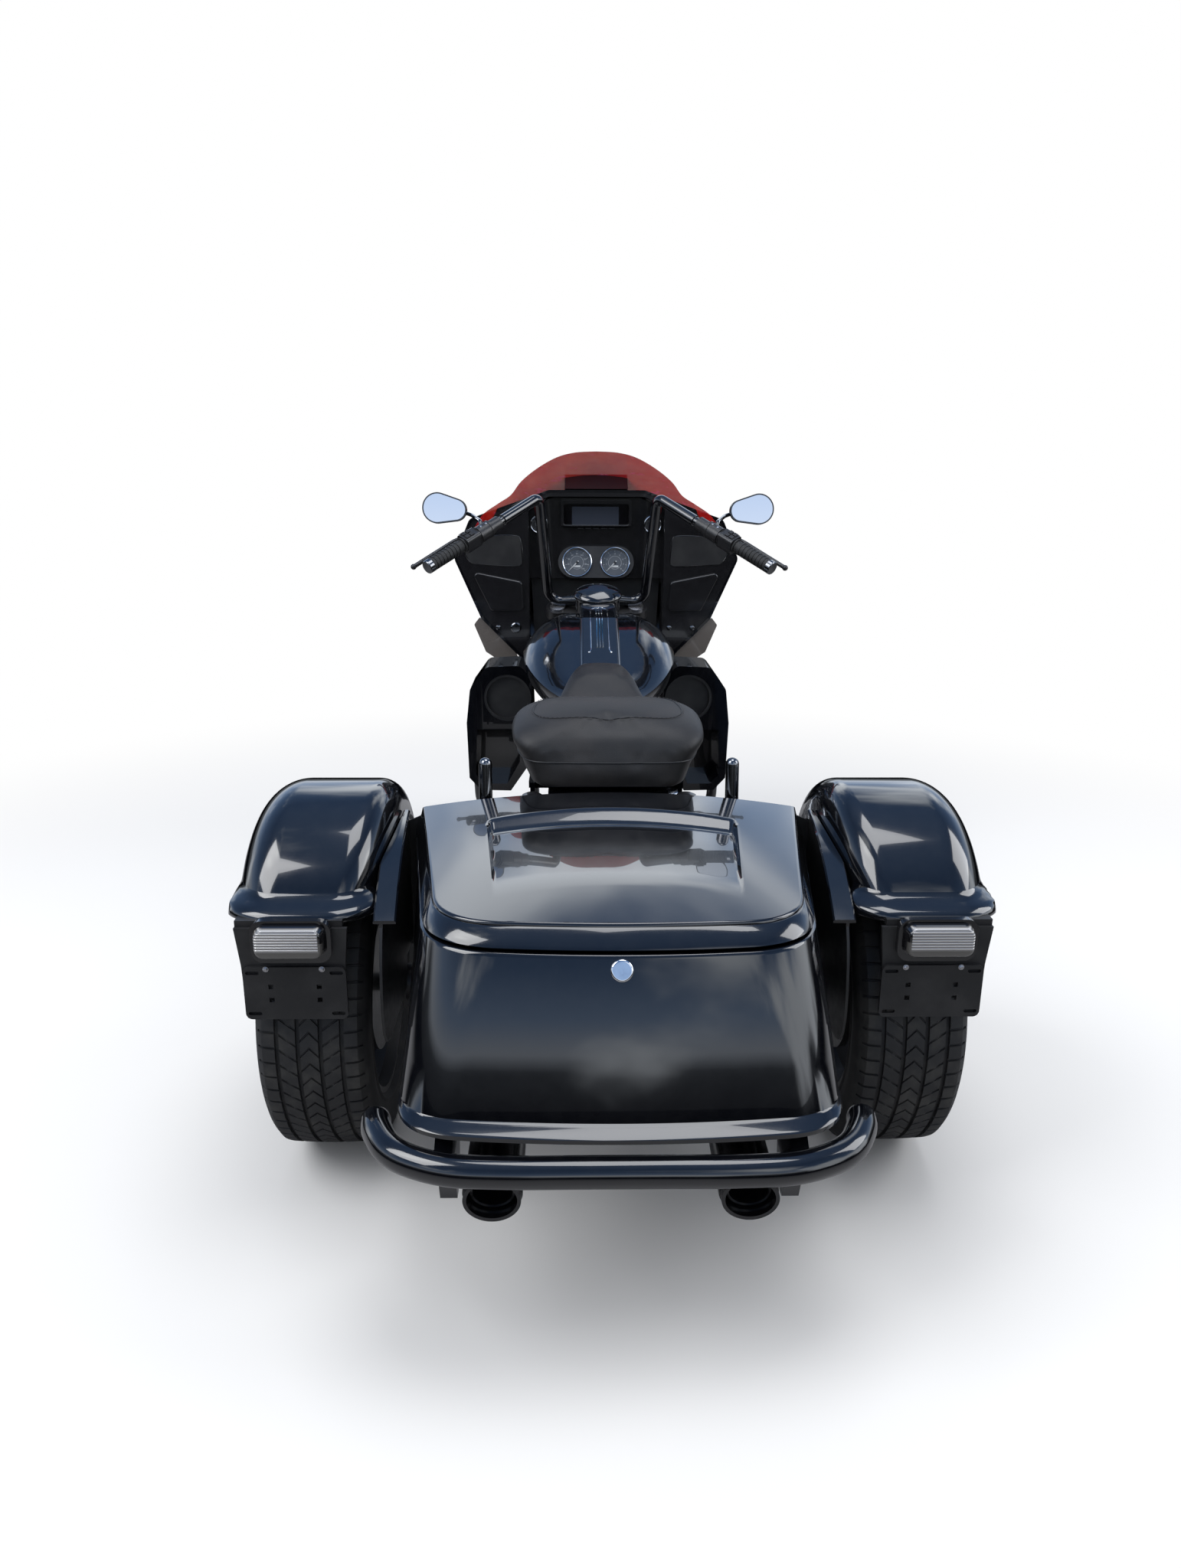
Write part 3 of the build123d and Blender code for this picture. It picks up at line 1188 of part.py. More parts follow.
# Steering: fork, clamps, axle, front fender, calipers
LEG_TOP_Z = UPPER_CLAMP_Z + 24
SLIDER_TOP_Z = 590
leg_turn = radians(FORK_ANGLE)
axis_turn = radians(HEAD_ANGLE)
with BuildPart() as fork_sliders:
    add(rod(leg_point(FRONT_TYRE_RADIUS - 30), leg_point(SLIDER_TOP_Z), SLIDER_DIA))
    add(rod((LEG_X - 30, FRONT_AXLE_Y, FRONT_TYRE_RADIUS), (LEG_X + 32, FRONT_AXLE_Y, FRONT_TYRE_RADIUS), 58))
    add(rod(leg_point(SLIDER_TOP_Z - 14), leg_point(SLIDER_TOP_Z + 6), SLIDER_DIA + 10))
    add(rod((0, FRONT_AXLE_Y, FRONT_TYRE_RADIUS), (LEG_X + 60, FRONT_AXLE_Y, FRONT_TYRE_RADIUS), FRONT_AXLE_DIA),
        mode=Mode.SUBTRACT)
    add(rod(leg_point(SLIDER_TOP_Z - 60), leg_point(SLIDER_TOP_Z + 40), FORK_TUBE_DIA), mode=Mode.SUBTRACT)
keep("fork_legs", joined(
    both_sides(fork_sliders.part),
    both_sides(rod(leg_point(SLIDER_TOP_Z - 60), leg_point(LEG_TOP_Z), FORK_TUBE_DIA)),
    rod((-LEG_X - 36, FRONT_AXLE_Y, FRONT_TYRE_RADIUS), (LEG_X + 36, FRONT_AXLE_Y, FRONT_TYRE_RADIUS),
        FRONT_AXLE_DIA)))


def clamp_plane(z):
    """A plane square to the steering axis."""
    return Plane(origin=axis_point(z), x_dir=(1, 0, 0), z_dir=(0, -sin(axis_turn), cos(axis_turn)))


def clamp_reach(z):
    """How far the legs stand ahead of the steering axis, measured square to it."""
    lead = Vector(*leg_point(z, 0)) - Vector(*axis_point(z))
    return lead.Y * cos(axis_turn)


with BuildPart() as fork_clamps:
    for z in (LOWER_CLAMP_Z, UPPER_CLAMP_Z):
        with BuildSketch(clamp_plane(z).offset(-15)):
            with Locations((-LEG_X, clamp_reach(z)), (LEG_X, clamp_reach(z))):
                Circle(36)
            with BuildLine():
                Polyline((-LEG_X, clamp_reach(z) - 30), (0, -36), (LEG_X, clamp_reach(z) - 30),
                         (LEG_X, clamp_reach(z) + 30), (0, 36), (-LEG_X, clamp_reach(z) + 30),
                         (-LEG_X, clamp_reach(z) - 30))
            make_face()
        extrude(amount=30)
    add(rod(axis_point(LOWER_CLAMP_Z - 4), axis_point(UPPER_CLAMP_Z + 20), STEM_DIA))
    for side in (-1, 1):
        add(rod(leg_point(SLIDER_TOP_Z, side * LEG_X), leg_point(LEG_TOP_Z + 80, side * LEG_X), FORK_TUBE_DIA),
            mode=Mode.SUBTRACT)
    for side in (-1, 1):
        with BuildSketch(clamp_plane(UPPER_CLAMP_Z).offset(14)):
            with Locations((side * 45, 0)):
                Circle(20)
        extrude(amount=26)
        add(rod((side * 26, BAR_CLAMP[1], BAR_CLAMP[2]), (side * 64, BAR_CLAMP[1], BAR_CLAMP[2]), 48))
    add(rod((-80, BAR_CLAMP[1], BAR_CLAMP[2]), (80, BAR_CLAMP[1], BAR_CLAMP[2]), BAR_DIA), mode=Mode.SUBTRACT)
keep("fork_clamps", fork_clamps.part)

with BuildPart() as front_fender:
    with BuildSketch(Plane(origin=FRONT_CENTRE, x_dir=(1, 0, 0), z_dir=(0, -1, 0))):
        with BuildLine():
            ThreePointArc((-78, 286), (0, 350), (78, 286))
            Line((78, 286), (74, 286))
            ThreePointArc((74, 286), (0, 346), (-74, 286))
            Line((-74, 286), (-78, 286))
        make_face()
    revolve(axis=Axis(FRONT_CENTRE, (1, 0, 0)), revolution_arc=118)
    with BuildSketch(Plane(origin=FRONT_CENTRE, x_dir=(1, 0, 0), z_dir=(0, -1, 0))):
        with BuildLine():
            ThreePointArc((-78, 286), (0, 350), (78, 286))
            Line((78, 286), (74, 286))
            ThreePointArc((74, 286), (0, 346), (-74, 286))
            Line((-74, 286), (-78, 286))
        make_face()
    revolve(axis=Axis(FRONT_CENTRE, (1, 0, 0)), revolution_arc=-58)
    for side in (-1, 1):
        with BuildSketch(side_plane(side * 86 - 10)):
            with Locations((FRONT_AXLE_Y - 99, FRONT_TYRE_RADIUS + 217)):
                Rectangle(90, 110, rotation=22)
        extrude(amount=20)
    add(rod((-70, FRONT_AXLE_Y, FRONT_TYRE_RADIUS), (70, FRONT_AXLE_Y, FRONT_TYRE_RADIUS), 560), mode=Mode.SUBTRACT)
    add(both_sides(fork_sliders.part), mode=Mode.SUBTRACT)
keep("front_fender", front_fender.part)

with BuildPart() as caliper:
    with BuildSketch(side_plane(DISC_X - 26)):
        with Locations((FRONT_AXLE_Y - 104, FRONT_TYRE_RADIUS + 16)):
            RectangleRounded(52, 112, 14, rotation=-8)
    extrude(amount=58)
    with BuildSketch(side_plane(DISC_X - 4)):
        with Locations((FRONT_AXLE_Y, FRONT_TYRE_RADIUS)):
            Circle(154)
    extrude(amount=13, mode=Mode.SUBTRACT)
    with BuildSketch(side_plane(DISC_X + 20)):
        with BuildLine():
            Polyline((FRONT_AXLE_Y - 110, FRONT_TYRE_RADIUS + 60), (FRONT_AXLE_Y - 30, FRONT_TYRE_RADIUS + 60),
                     (FRONT_AXLE_Y - 14, FRONT_TYRE_RADIUS - 10), (FRONT_AXLE_Y - 90, FRONT_TYRE_RADIUS - 10),
                     (FRONT_AXLE_Y - 110, FRONT_TYRE_RADIUS + 60))
        make_face()
    extrude(amount=12)
    add(fork_sliders.part, mode=Mode.SUBTRACT)
keep("brake_calipers", both_sides(caliper.part))

# Handlebar, grips, controls, levers and mirrors
grip_run = (Vector(*BAR_END) - Vector(*BAR_PEAK)).normalized()
bar_end = Vector(*BAR_END)


def along_bar(reach):
    """A point on the right grip's centre line, by its distance in from the bar's end."""
    return bar_end - grip_run * reach


with BuildPart() as handlebar:
    add(tube([(0, BAR_CLAMP[1], BAR_CLAMP[2]), BAR_CLAMP, BAR_LOW, BAR_PEAK, tuple(along_bar(292))],
             [16, 42, 22], BAR_DIA))
    add(rod(tuple(along_bar(296)), tuple(along_bar(4)), GRIP_BAR_DIA))
with BuildPart() as handlebar_pair:
    add(handlebar.part)
    mirror(handlebar.part, about=Plane.YZ)
keep("handlebar", handlebar_pair.part)

GRIP_LENGTH = 132
with BuildPart() as grip:
    add(rod(tuple(along_bar(GRIP_LENGTH)), tuple(along_bar(0)), 35))
    for rib in range(9):
        add(rod(tuple(along_bar(20 + rib * 12)), tuple(along_bar(12 + rib * 12)), 38))
    add(rod(tuple(along_bar(GRIP_LENGTH + 2)), tuple(along_bar(GRIP_LENGTH - 3)), 42))
    add(rod(tuple(along_bar(GRIP_LENGTH + 10)), tuple(along_bar(4)), GRIP_BAR_DIA), mode=Mode.SUBTRACT)
keep("grips", both_sides(grip.part))

control_plane = Plane(origin=tuple(along_bar(GRIP_LENGTH + 3)), x_dir=(0, -0.53, 0.85), z_dir=-grip_run)
ahead = Vector(0.66, 0.75, 0)
with BuildPart() as controls:
    with BuildSketch(control_plane):
        Rectangle(46, 44)
        with Locations((0, 0)):
            Circle(GRIP_BAR_DIA / 2, mode=Mode.SUBTRACT)
    extrude(amount=52)
    fillet(controls.edges().filter_by(lambda e: 50 < e.length < 54), radius=9)
    with BuildSketch(control_plane.offset(56)):
        Circle(24)
        Circle(GRIP_BAR_DIA / 2, mode=Mode.SUBTRACT)
    extrude(amount=48)
    with BuildSketch(control_plane.offset(104)):
        Circle(20)
        Circle(GRIP_BAR_DIA / 2, mode=Mode.SUBTRACT)
    extrude(amount=36)

lever_pivot = along_bar(GRIP_LENGTH + 62) + ahead * 34
lever_knee = along_bar(GRIP_LENGTH + 20) + ahead * 62
lever_tip = along_bar(-8) + ahead * 58
with BuildPart() as lever:
    add(tube([tuple(lever_pivot - ahead * 9.5), tuple(lever_pivot), tuple(lever_knee), tuple(lever_tip)],
             [8, 40], 12))
    with Locations(tuple(lever_tip)):
        Sphere(8)
keep("hand_controls", both_sides(joined(controls.part, lever.part)))

MIRROR_CENTRE = (448, 512, 1256)
mirror_plane = Plane(origin=MIRROR_CENTRE, x_dir=(1, 0.12, 0.02), z_dir=(0.1, -0.985, 0.14))
MIRROR_WIDE = 134
MIRROR_HIGH = 88


def mirror_outline(grow):
    """A rounded teardrop, narrower at its inner end."""
    with BuildSketch() as outline:
        with Locations((MIRROR_WIDE / 2 - MIRROR_HIGH / 2 - 4, 0)):
            Circle(MIRROR_HIGH / 2 + grow)
        with Locations((-MIRROR_WIDE / 2 + 32, -4)):
            Circle(32 + grow)
        make_hull()
    return outline.sketch


with BuildPart() as mirror_body:
    with BuildSketch(mirror_plane):
        add(mirror_outline(0))
    extrude(amount=-14)
    with BuildSketch(mirror_plane.offset(-14)):
        add(mirror_outline(0))
    with BuildSketch(mirror_plane.offset(-29)):
        add(mirror_outline(-14))
    loft()
    with BuildSketch(mirror_plane):
        add(mirror_outline(-4))
    extrude(amount=-3, mode=Mode.SUBTRACT)
    add(tube([tuple(along_bar(GRIP_LENGTH + 80)), tuple(along_bar(GRIP_LENGTH + 80) + Vector(8, 22, 30)),
              (372, 528, 1238), (410, 530, 1246)], [16, 40], 11))
    add(controls.part, mode=Mode.SUBTRACT)
    add(handlebar.part, mode=Mode.SUBTRACT)
with BuildPart() as mirror_glass:
    with BuildSketch(mirror_plane):
        add(mirror_outline(-4))
    extrude(amount=-3)
keep("mirrors", both_sides(mirror_body.part))
keep("mirror_glass", both_sides(mirror_glass.part))

os.makedirs("parts", exist_ok=True)
for name, part in pieces.items():
    export_step(part, "parts/" + name + ".step")
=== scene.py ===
import json
from math import atan2, cos, pi, radians, sin, sqrt, tan

import bmesh
import bpy
from mathutils import Matrix, Vector


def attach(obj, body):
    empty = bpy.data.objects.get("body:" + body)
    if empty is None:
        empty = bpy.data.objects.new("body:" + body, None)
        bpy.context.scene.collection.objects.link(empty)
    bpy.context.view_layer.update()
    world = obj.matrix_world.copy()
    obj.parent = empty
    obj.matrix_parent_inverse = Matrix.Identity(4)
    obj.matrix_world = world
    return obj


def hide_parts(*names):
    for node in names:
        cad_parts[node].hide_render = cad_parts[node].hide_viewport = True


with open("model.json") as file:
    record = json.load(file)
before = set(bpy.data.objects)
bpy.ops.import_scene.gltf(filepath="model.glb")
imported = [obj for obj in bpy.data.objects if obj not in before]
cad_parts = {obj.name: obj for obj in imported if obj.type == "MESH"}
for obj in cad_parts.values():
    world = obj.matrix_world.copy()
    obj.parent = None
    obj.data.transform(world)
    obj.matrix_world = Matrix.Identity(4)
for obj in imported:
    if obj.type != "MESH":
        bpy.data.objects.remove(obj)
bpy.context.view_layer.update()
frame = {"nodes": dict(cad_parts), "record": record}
cad = frame["nodes"]


# Node maths: a socket that can be used in plain arithmetic

class Value:
    """An output socket; every operation on it adds one Math node."""

    def __init__(self, look, socket):
        self.look = look
        self.socket = socket

    def math(self, operation, *others):
        inputs = {i: value for i, value in enumerate((self, *others))}
        return self.look.node("Math", {"operation": operation}, inputs)

    def reflected(self, operation, other):
        return self.look.node("Math", {"operation": operation}, {0: other, 1: self})

    def __add__(self, other):
        return self.math("ADD", other)

    def __radd__(self, other):
        return self.reflected("ADD", other)

    def __sub__(self, other):
        return self.math("SUBTRACT", other)

    def __rsub__(self, other):
        return self.reflected("SUBTRACT", other)

    def __mul__(self, other):
        return self.math("MULTIPLY", other)

    def __rmul__(self, other):
        return self.reflected("MULTIPLY", other)

    def __lt__(self, other):
        return self.math("LESS_THAN", other)

    def __gt__(self, other):
        return self.math("GREATER_THAN", other)

    def size(self):
        return self.math("ABSOLUTE")

    def wave(self, length, ridge=0.5):
        """Ridges that repeat every length metres, 0 to 1."""
        return (self * (2 * pi / length)).math("SINE") * 0.5 + ridge

    def within(self, middle, half, edge=0.001):
        """1 where the value is within half of the middle, with soft ends."""
        return 1.0 - (self - middle).size().clamped(half - edge, half + edge)

    def clamped(self, low, high):
        """Where the value runs from low to high, as 0 to 1 with soft ends."""
        return self.look.node("MapRange", {"interpolation_type": "SMOOTHSTEP"},
                              {"Value": self, "From Min": low, "From Max": high})


class Graph:
    """A node tree under construction."""

    def __init__(self, tree):
        self.tree = tree

    def feed(self, socket, value):
        if isinstance(value, Value):
            self.tree.links.new(value.socket, socket)
        else:
            socket.default_value = value

    def node(self, kind, settings, inputs, output=0):
        """Any node: its settings or its ramp's stops first, then its sockets."""
        made = self.tree.nodes.new("ShaderNode" + kind)
        for key, value in settings.items():
            if key == "stops":
                self.color_stops(made.color_ramp.elements, value)
            else:
                setattr(made, key, value)
        for key, value in inputs.items():
            self.feed(made.inputs[key], value)
        return Value(self, made.outputs[output])

    def color_stops(self, stops, table):
        """Sets a ramp's stops from (place, colour) rows."""
        while len(stops) < len(table):
            stops.new(0.5)
        for stop, (place, color) in zip(stops, table):
            stop.position = place
            stop.color = (*color, 1)

    def ray(self, kind):
        """1 for rays of one kind."""
        return self.node("LightPath", {}, {}, kind)

    def parts(self, vector):
        """The three parts of a vector as values."""
        split = self.node("SeparateXYZ", {}, {0: vector})
        return [Value(self, out) for out in split.socket.node.outputs]

    def blend(self, amount, first, second):
        """A colour between two colours."""
        first, second = (value if isinstance(value, Value) else (*value, 1) for value in (first, second))
        return self.node("Mix", {"data_type": "RGBA"}, {0: amount, 6: first, 7: second}, 2)


class Look(Graph):
    """A procedural material under construction around one Principled shader."""

    def __init__(self, name, color, rough, metal=0.0, coat=0.0, coat_rough=0.03, specular=0.5):
        self.material = bpy.data.materials.new(name)
        self.material.use_nodes = True
        super().__init__(self.material.node_tree)
        self.shader = self.tree.nodes["Principled BSDF"]
        self.set({"Base Color": (*color, 1), "Roughness": rough, "Metallic": metal, "Coat Weight": coat,
                  "Coat Roughness": coat_rough, "Specular IOR Level": specular})

    def set(self, inputs):
        """Feeds the shader's sockets and gives the material back."""
        for key, value in inputs.items():
            self.feed(self.shader.inputs[key], value)
        return self.material

    def place(self, scale=(1, 1, 1)):
        """The piece's own coordinates in metres, stretched by a scale."""
        at = self.node("TexCoord", {}, {}, "Object")
        return self.node("VectorMath", {"operation": "MULTIPLY"}, {0: at, 1: scale})

    def noise(self, scale, detail=3.0, rough=0.5, at=None):
        return self.node("TexNoise", {}, {"Scale": scale, "Detail": detail, "Roughness": rough,
                                          "Vector": at or self.place()})

    def cells(self, scale, at=None, feature="F1"):
        return self.node("TexVoronoi", {"feature": feature}, {"Vector": at or self.place(), "Scale": scale})

    def bump(self, height, strength, depth):
        return self.node("Bump", {}, {"Height": height, "Strength": strength, "Distance": depth})


# Materials of the machine

def surface(name, color, rough, uneven, grain=None, tones=None, alpha=None, **shader):
    """A plain material of uneven roughness.

    Columns of uneven: least, scale, detail, range. Of grain: texture, scale, detail, strength, depth. Of tones:
    scale, detail, where it starts and ends, two colours. Of alpha: least, scale, range.
    """
    look = Look(name, color, rough, **shader)
    least, scale, detail, spread = uneven
    inputs = {"Roughness": least + look.noise(scale, detail) * spread}
    if grain:
        texture, scale, detail, strength, depth = grain
        height = look.noise(scale, detail) if texture == "NOISE" else look.cells(scale, feature=texture)
        inputs["Normal"] = look.bump(height, strength, depth)
    if tones:
        scale, detail, start, end, first, second = tones
        inputs["Base Color"] = look.blend(look.noise(scale, detail).clamped(start, end), first, second)
    if alpha:
        least, scale, spread = alpha
        inputs["Alpha"] = least + look.noise(scale) * spread
    return look.set(inputs)


def gloss_black():
    look = Look("gloss_black_paint", (0.0035, 0.004, 0.006), 0.16, coat=1.0, coat_rough=0.006, specular=0.45)
    dust = look.noise(34.0, 5.0, 0.62)
    tone = look.blend(dust.clamped(0.35, 0.8), (0.0022, 0.0026, 0.0042), (0.0045, 0.005, 0.0066))
    return look.set({"Roughness": 0.1 + dust * 0.06, "Base Color": tone,
                     "Normal": look.bump(look.noise(6.0, 3.0), 0.06, 0.002)})


def lamp_lens():
    """A clear ribbed lens over silver with painted shade and highlight in its ribs, above a smoked one, in a black
    bezel.
    """
    look = Look("tail_lamp_lens", (0.7, 0.7, 0.72), 0.12, coat=0.9, coat_rough=0.03)
    x, y, z = look.parts(look.place())
    across = x.size()
    ribs = z.wave(0.0052)
    tall = across.wave(0.0031)
    clear = across.within(0.579, 0.059) * z.within(0.5905, 0.0205) * (y < -0.985)
    smoked_part = across.within(0.573, 0.06) * z.within(0.566, 0.02) * (y < -0.981)
    # Painted shade and highlight: the silver is darkened to 0.14 in the rib valleys and lightened to 0.66 on the
    # crests, following the ribs of the bump, and the upright ribs grey it further.
    silver_with_painted_rib_shade = look.blend(ribs, (0.14, 0.14, 0.15), (0.66, 0.65, 0.63))
    silver_with_painted_rib_shade = look.blend(tall * 0.35, silver_with_painted_rib_shade, (0.32, 0.31, 0.32))
    below = look.blend(smoked_part, (0.006, 0.006, 0.007), (0.075, 0.073, 0.07))
    return look.set({"Base Color": look.blend(clear, below, silver_with_painted_rib_shade), "Metallic": clear * 0.35,
                     "Roughness": 0.1 + ribs * clear * 0.1, "Normal": look.bump(ribs * clear, 0.9, 0.0022)})


def dial_face():
    look = Look("dial_face", (0.05, 0.053, 0.058), 0.3, coat=0.9, coat_rough=0.02)
    return look.set({"Base Color": look.blend(look.noise(260.0), (0.055, 0.06, 0.066), (0.075, 0.08, 0.088))})


def display_glass():
    look = Look("display_glass", (0.008, 0.008, 0.01), 0.06, coat=1.0)
    x, _, z = look.parts(look.place())
    lit = x.within(-0.0025, 0.0745, 0.0004) * z.within(1.2165, 0.0305, 0.0004)
    return look.set({"Base Color": look.blend(lit, (0.006, 0.006, 0.008), (0.05, 0.06, 0.085)),
                     "Roughness": 0.05 + look.noise(30.0) * 0.06})


def chrome_painted_sky_reflection():
    """Chrome with a painted reflection: a blue band of base colour along the strip stands in for the sky that it
    reflects.
    """
    look = Look("chrome_painted_sky_reflection", (0.6, 0.66, 0.74), 0.12, metal=1.0)
    _, y, _ = look.parts(look.place())
    # Painted reflection: base colour turns blue between y 0.26 and 0.36, standing in for reflected sky.
    return look.set({"Base Color": look.blend(y.within(0.31, 0.05, 0.04), (0.66, 0.67, 0.66), (0.16, 0.42, 0.66)),
                     "Roughness": 0.08 + look.noise(60.0) * 0.08})


def chrome():
    look = Look("polished_chrome", (0.78, 0.79, 0.81), 0.06, metal=1.0)
    haze = look.noise(38.0, 5.0)
    return look.set({"Roughness": 0.03 + haze * 0.07,
                     "Base Color": look.blend(haze.clamped(0.3, 0.8), (0.8, 0.81, 0.83), (0.62, 0.64, 0.68))})


def brushed_alloy():
    look = Look("brushed_alloy", (0.5, 0.5, 0.52), 0.28, metal=1.0)
    lines = look.noise(90.0, 3.0, at=look.place((1, 1, 14)))
    return look.set({"Roughness": 0.2 + lines * 0.16, "Normal": look.bump(lines, 0.1, 0.0003)})


def turned_steel():
    look = Look("turned_disc_steel", (0.4, 0.4, 0.41), 0.3, metal=1.0)
    _, along, up = look.parts(look.place())
    reach = ((along - 1.041) * (along - 1.041) + (up - 0.319) * (up - 0.319)).math("SQRT")
    rings = (reach * 5200.0).math("SINE") * 0.5 + 0.5
    return look.set({"Roughness": 0.24 + rings * 0.12, "Normal": look.bump(rings, 0.08, 0.0002)})


def red_windshield():
    look = Look("red_windshield", (0.62, 0.02, 0.028), 0.08, coat=0.6, specular=0.5)
    waves = look.noise(5.5, 5.0, 0.6, at=look.place((1, 1, 2.2)))
    # Painted highlights: pink streaks in the base colour stand in for light glinting on the shield; the same mask also
    # raises alpha and roughness.
    painted_highlight_streaks = look.noise(17.0, 6.0, 0.65, at=look.place((0.8, 1, 3)))
    color = look.blend(waves.clamped(0.38, 0.7), (0.62, 0.012, 0.012), (0.8, 0.06, 0.03))
    color = look.blend(painted_highlight_streaks.clamped(0.57, 0.68), color, (0.86, 0.06, 0.18))
    return look.set({"Base Color": color, "Alpha": 0.7 + painted_highlight_streaks * 0.14, "Roughness": 0.04 + painted_highlight_streaks * 0.1,
                     "Normal": look.bump(waves, 0.3, 0.004)})


paint = gloss_black()
bright = chrome()
chrome_with_painted_reflection = chrome_painted_sky_reflection()
alloy = brushed_alloy()
disc_steel = turned_steel()
red_glass = red_windshield()
lamp = lamp_lens()
dial = dial_face()
glass_display = display_glass()
satin = surface("satin_black_metal", (0.012, 0.012, 0.013), 0.38, (0.32, 40.0, 4.0, 0.16),
                ("NOISE", 900.0, 2.0, 0.12, 0.0003), coat=0.15, coat_rough=0.2)
castings = surface("wrinkle_black_castings", (0.016, 0.016, 0.017), 0.5, (0.42, 60.0, 3.0, 0.18),
                   ("SMOOTH_F1", 420.0, 0.0, 0.35, 0.0006),
                   (26.0, 5.0, 0.4, 0.7, (0.013, 0.013, 0.014), (0.024, 0.023, 0.023)))
plastic = surface("grained_black_plastic", (0.011, 0.011, 0.012), 0.5, (0.4, 55.0, 4.0, 0.2),
                  ("F1", 760.0, 0.0, 0.22, 0.0004),
                  (18.0, 5.0, 0.35, 0.75, (0.009, 0.009, 0.01), (0.018, 0.018, 0.019)))
sleek = surface("smooth_black_plastic", (0.006, 0.006, 0.0075), 0.2, (0.16, 48.0, 5.0, 0.14), coat=0.4, coat_rough=0.06)
soft_rubber = surface("black_rubber", (0.012, 0.012, 0.012), 0.6, (0.5, 70.0, 4.0, 0.25),
                      ("NOISE", 1100.0, 3.0, 0.2, 0.0004))
dark_bright = surface("dark_chrome", (0.16, 0.165, 0.175), 0.1, (0.07, 46.0, 4.0, 0.08), metal=1.0, coat=0.4)
silver = surface("mirror_glass", (0.8, 0.82, 0.86), 0.01, (0.008, 12.0, 3.0, 0.02), metal=1.0)
smoke = surface("smoked_plastic", (0.09, 0.08, 0.075), 0.12, (0.08, 30.0, 4.0, 0.1), alpha=(0.8, 9.0, 0.15), coat=0.6)
lens = surface("clear_lens", (0.8, 0.8, 0.82), 0.06, (0.03, 40.0, 3.0, 0.06), alpha=(0.35, 14.0, 0.1), coat=0.7)
print_white = surface("dial_print", (0.5, 0.53, 0.56), 0.4, (0.35, 400.0, 3.0, 0.1))
vinyl_trim = surface("vinyl_welt", (0.01, 0.01, 0.0105), 0.5, (0.45, 75.0, 3.0, 0.12),
                     ("NOISE", 900.0, 3.0, 0.15, 0.0002))
thread_grey = surface("seat_thread", (0.06, 0.058, 0.06), 0.7, (0.65, 200.0, 3.0, 0.12),
                      ("NOISE", 2400.0, 3.0, 0.15, 0.0002))
grille_grey = surface("grille_grey", (0.022, 0.022, 0.024), 0.42, (0.37, 75.0, 3.0, 0.12),
                      ("NOISE", 900.0, 3.0, 0.15, 0.0002))

FINISHES = {
    "gloss_black": paint, "satin_black": satin, "engine_black": castings, "black_plastic": plastic,
    "black_gloss_plastic": sleek, "chrome": bright, "polished_alloy": alloy, "steel": disc_steel,
    "tyre": soft_rubber, "rubber": soft_rubber, "vinyl": soft_rubber, "lens_clear": lens,
    "headlamp_glass": lens, "screen_red": red_glass, "smoked": smoke, "dials": sleek, "display": sleek,
    "mirror": silver,
}
slot_of = {entry["node"]: entry["material_slot"] for entry in frame["record"]["subparts"]}
for node, solid in cad.items():
    solid.data.materials.clear()
    solid.data.materials.append(FINISHES[slot_of[node]])
OWN_LOOK = {"side_posts": dark_bright, "tail_lamps": lamp, "inner_fairing": sleek, "glove_door_left": sleek,
            "glove_door_right": sleek, "console": paint, "gauges": dial, "mufflers": sleek}
for node, look in OWN_LOOK.items():
    cad[node].data.materials[0] = look


# Shapes

def piece(name, points, faces, material, body, stands_for=(), finish=None, sharp=34):
    """A mesh in the shared frame, smooth apart from its sharp edges, that rides on a body."""
    mesh = bpy.data.meshes.new(name)
    mesh.from_pydata([tuple(point) for point in points], [], faces)
    mesh.validate()
    made = bpy.data.objects.new(name, mesh)
    bpy.context.scene.collection.objects.link(made)
    mesh.materials.append(material)
    mesh.shade_smooth()
    mesh.set_sharp_from_angle(angle=radians(sharp))
    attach(made, body)
    if stands_for:
        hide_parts(*stands_for)
    return made


def wrapped(rows, columns, round_rows=True, round_columns=False):
    """The faces of a grid of points, wrapped round where asked."""
    faces = []
    for row in range(rows if round_rows else rows - 1):
        for column in range(columns if round_columns else columns - 1):
            here, there = row * columns, ((row + 1) % rows) * columns
            after = (column + 1) % columns
            faces.append((here + column, here + after, there + after, there + column))
    return faces


def flat(rows):
    return [point for row in rows for point in row]


def capped(rows, columns):
    """The faces of a closed tube of points: rows of a round section, with a face at each end."""
    last = (rows - 1) * columns
    ends = [tuple(range(columns))[::-1], tuple(range(last, last + columns))]
    return wrapped(rows, columns, round_rows=False, round_columns=True) + ends


def flat_faces(count):
    """The faces of a flat shape with count corners, then the same corners moved."""
    sides = [(i, (i + 1) % count, count + (i + 1) % count, count + i) for i in range(count)]
    return [tuple(range(count))[::-1], tuple(range(count, 2 * count))] + sides


# Tyres: ribs parted by grooves, cut across by sipes

GROOVE_HALF, GROOVE_DEPTH, SIPE_DEPTH = 0.0042, 0.0068, 0.0042
# The tread's crown, its shoulder and its edge, as shares of the half width, with how far the surface falls
CROWN_SHARE, CROWN_FALL = 0.76, 0.003
SHOULDER_SHARE, SHOULDER_WIDTH = 0.86, 0.1
TREAD_EDGE, EDGE_WIDTH, EDGE_FALL = 0.895, 0.04, 0.008
RIB_STEPS = 4
# Columns: share of one pitch, 1 where the sipe is cut
PITCH_STEPS = ((0.0, 0), (0.03, 1), (0.15, 1), (0.18, 0), (0.6, 0))


def tyre_rubber():
    look = Look("tyre_rubber", (0.013, 0.013, 0.0135), 0.62)
    dust = look.noise(22.0, 6.0, 0.6)
    return look.set({"Roughness": 0.52 + dust * 0.28, "Normal": look.bump(look.noise(1300.0), 0.25, 0.0004),
                     "Base Color": look.blend(dust.clamped(0.4, 0.75), (0.011, 0.011, 0.012), (0.03, 0.029, 0.027))})


tread_rubber = tyre_rubber()


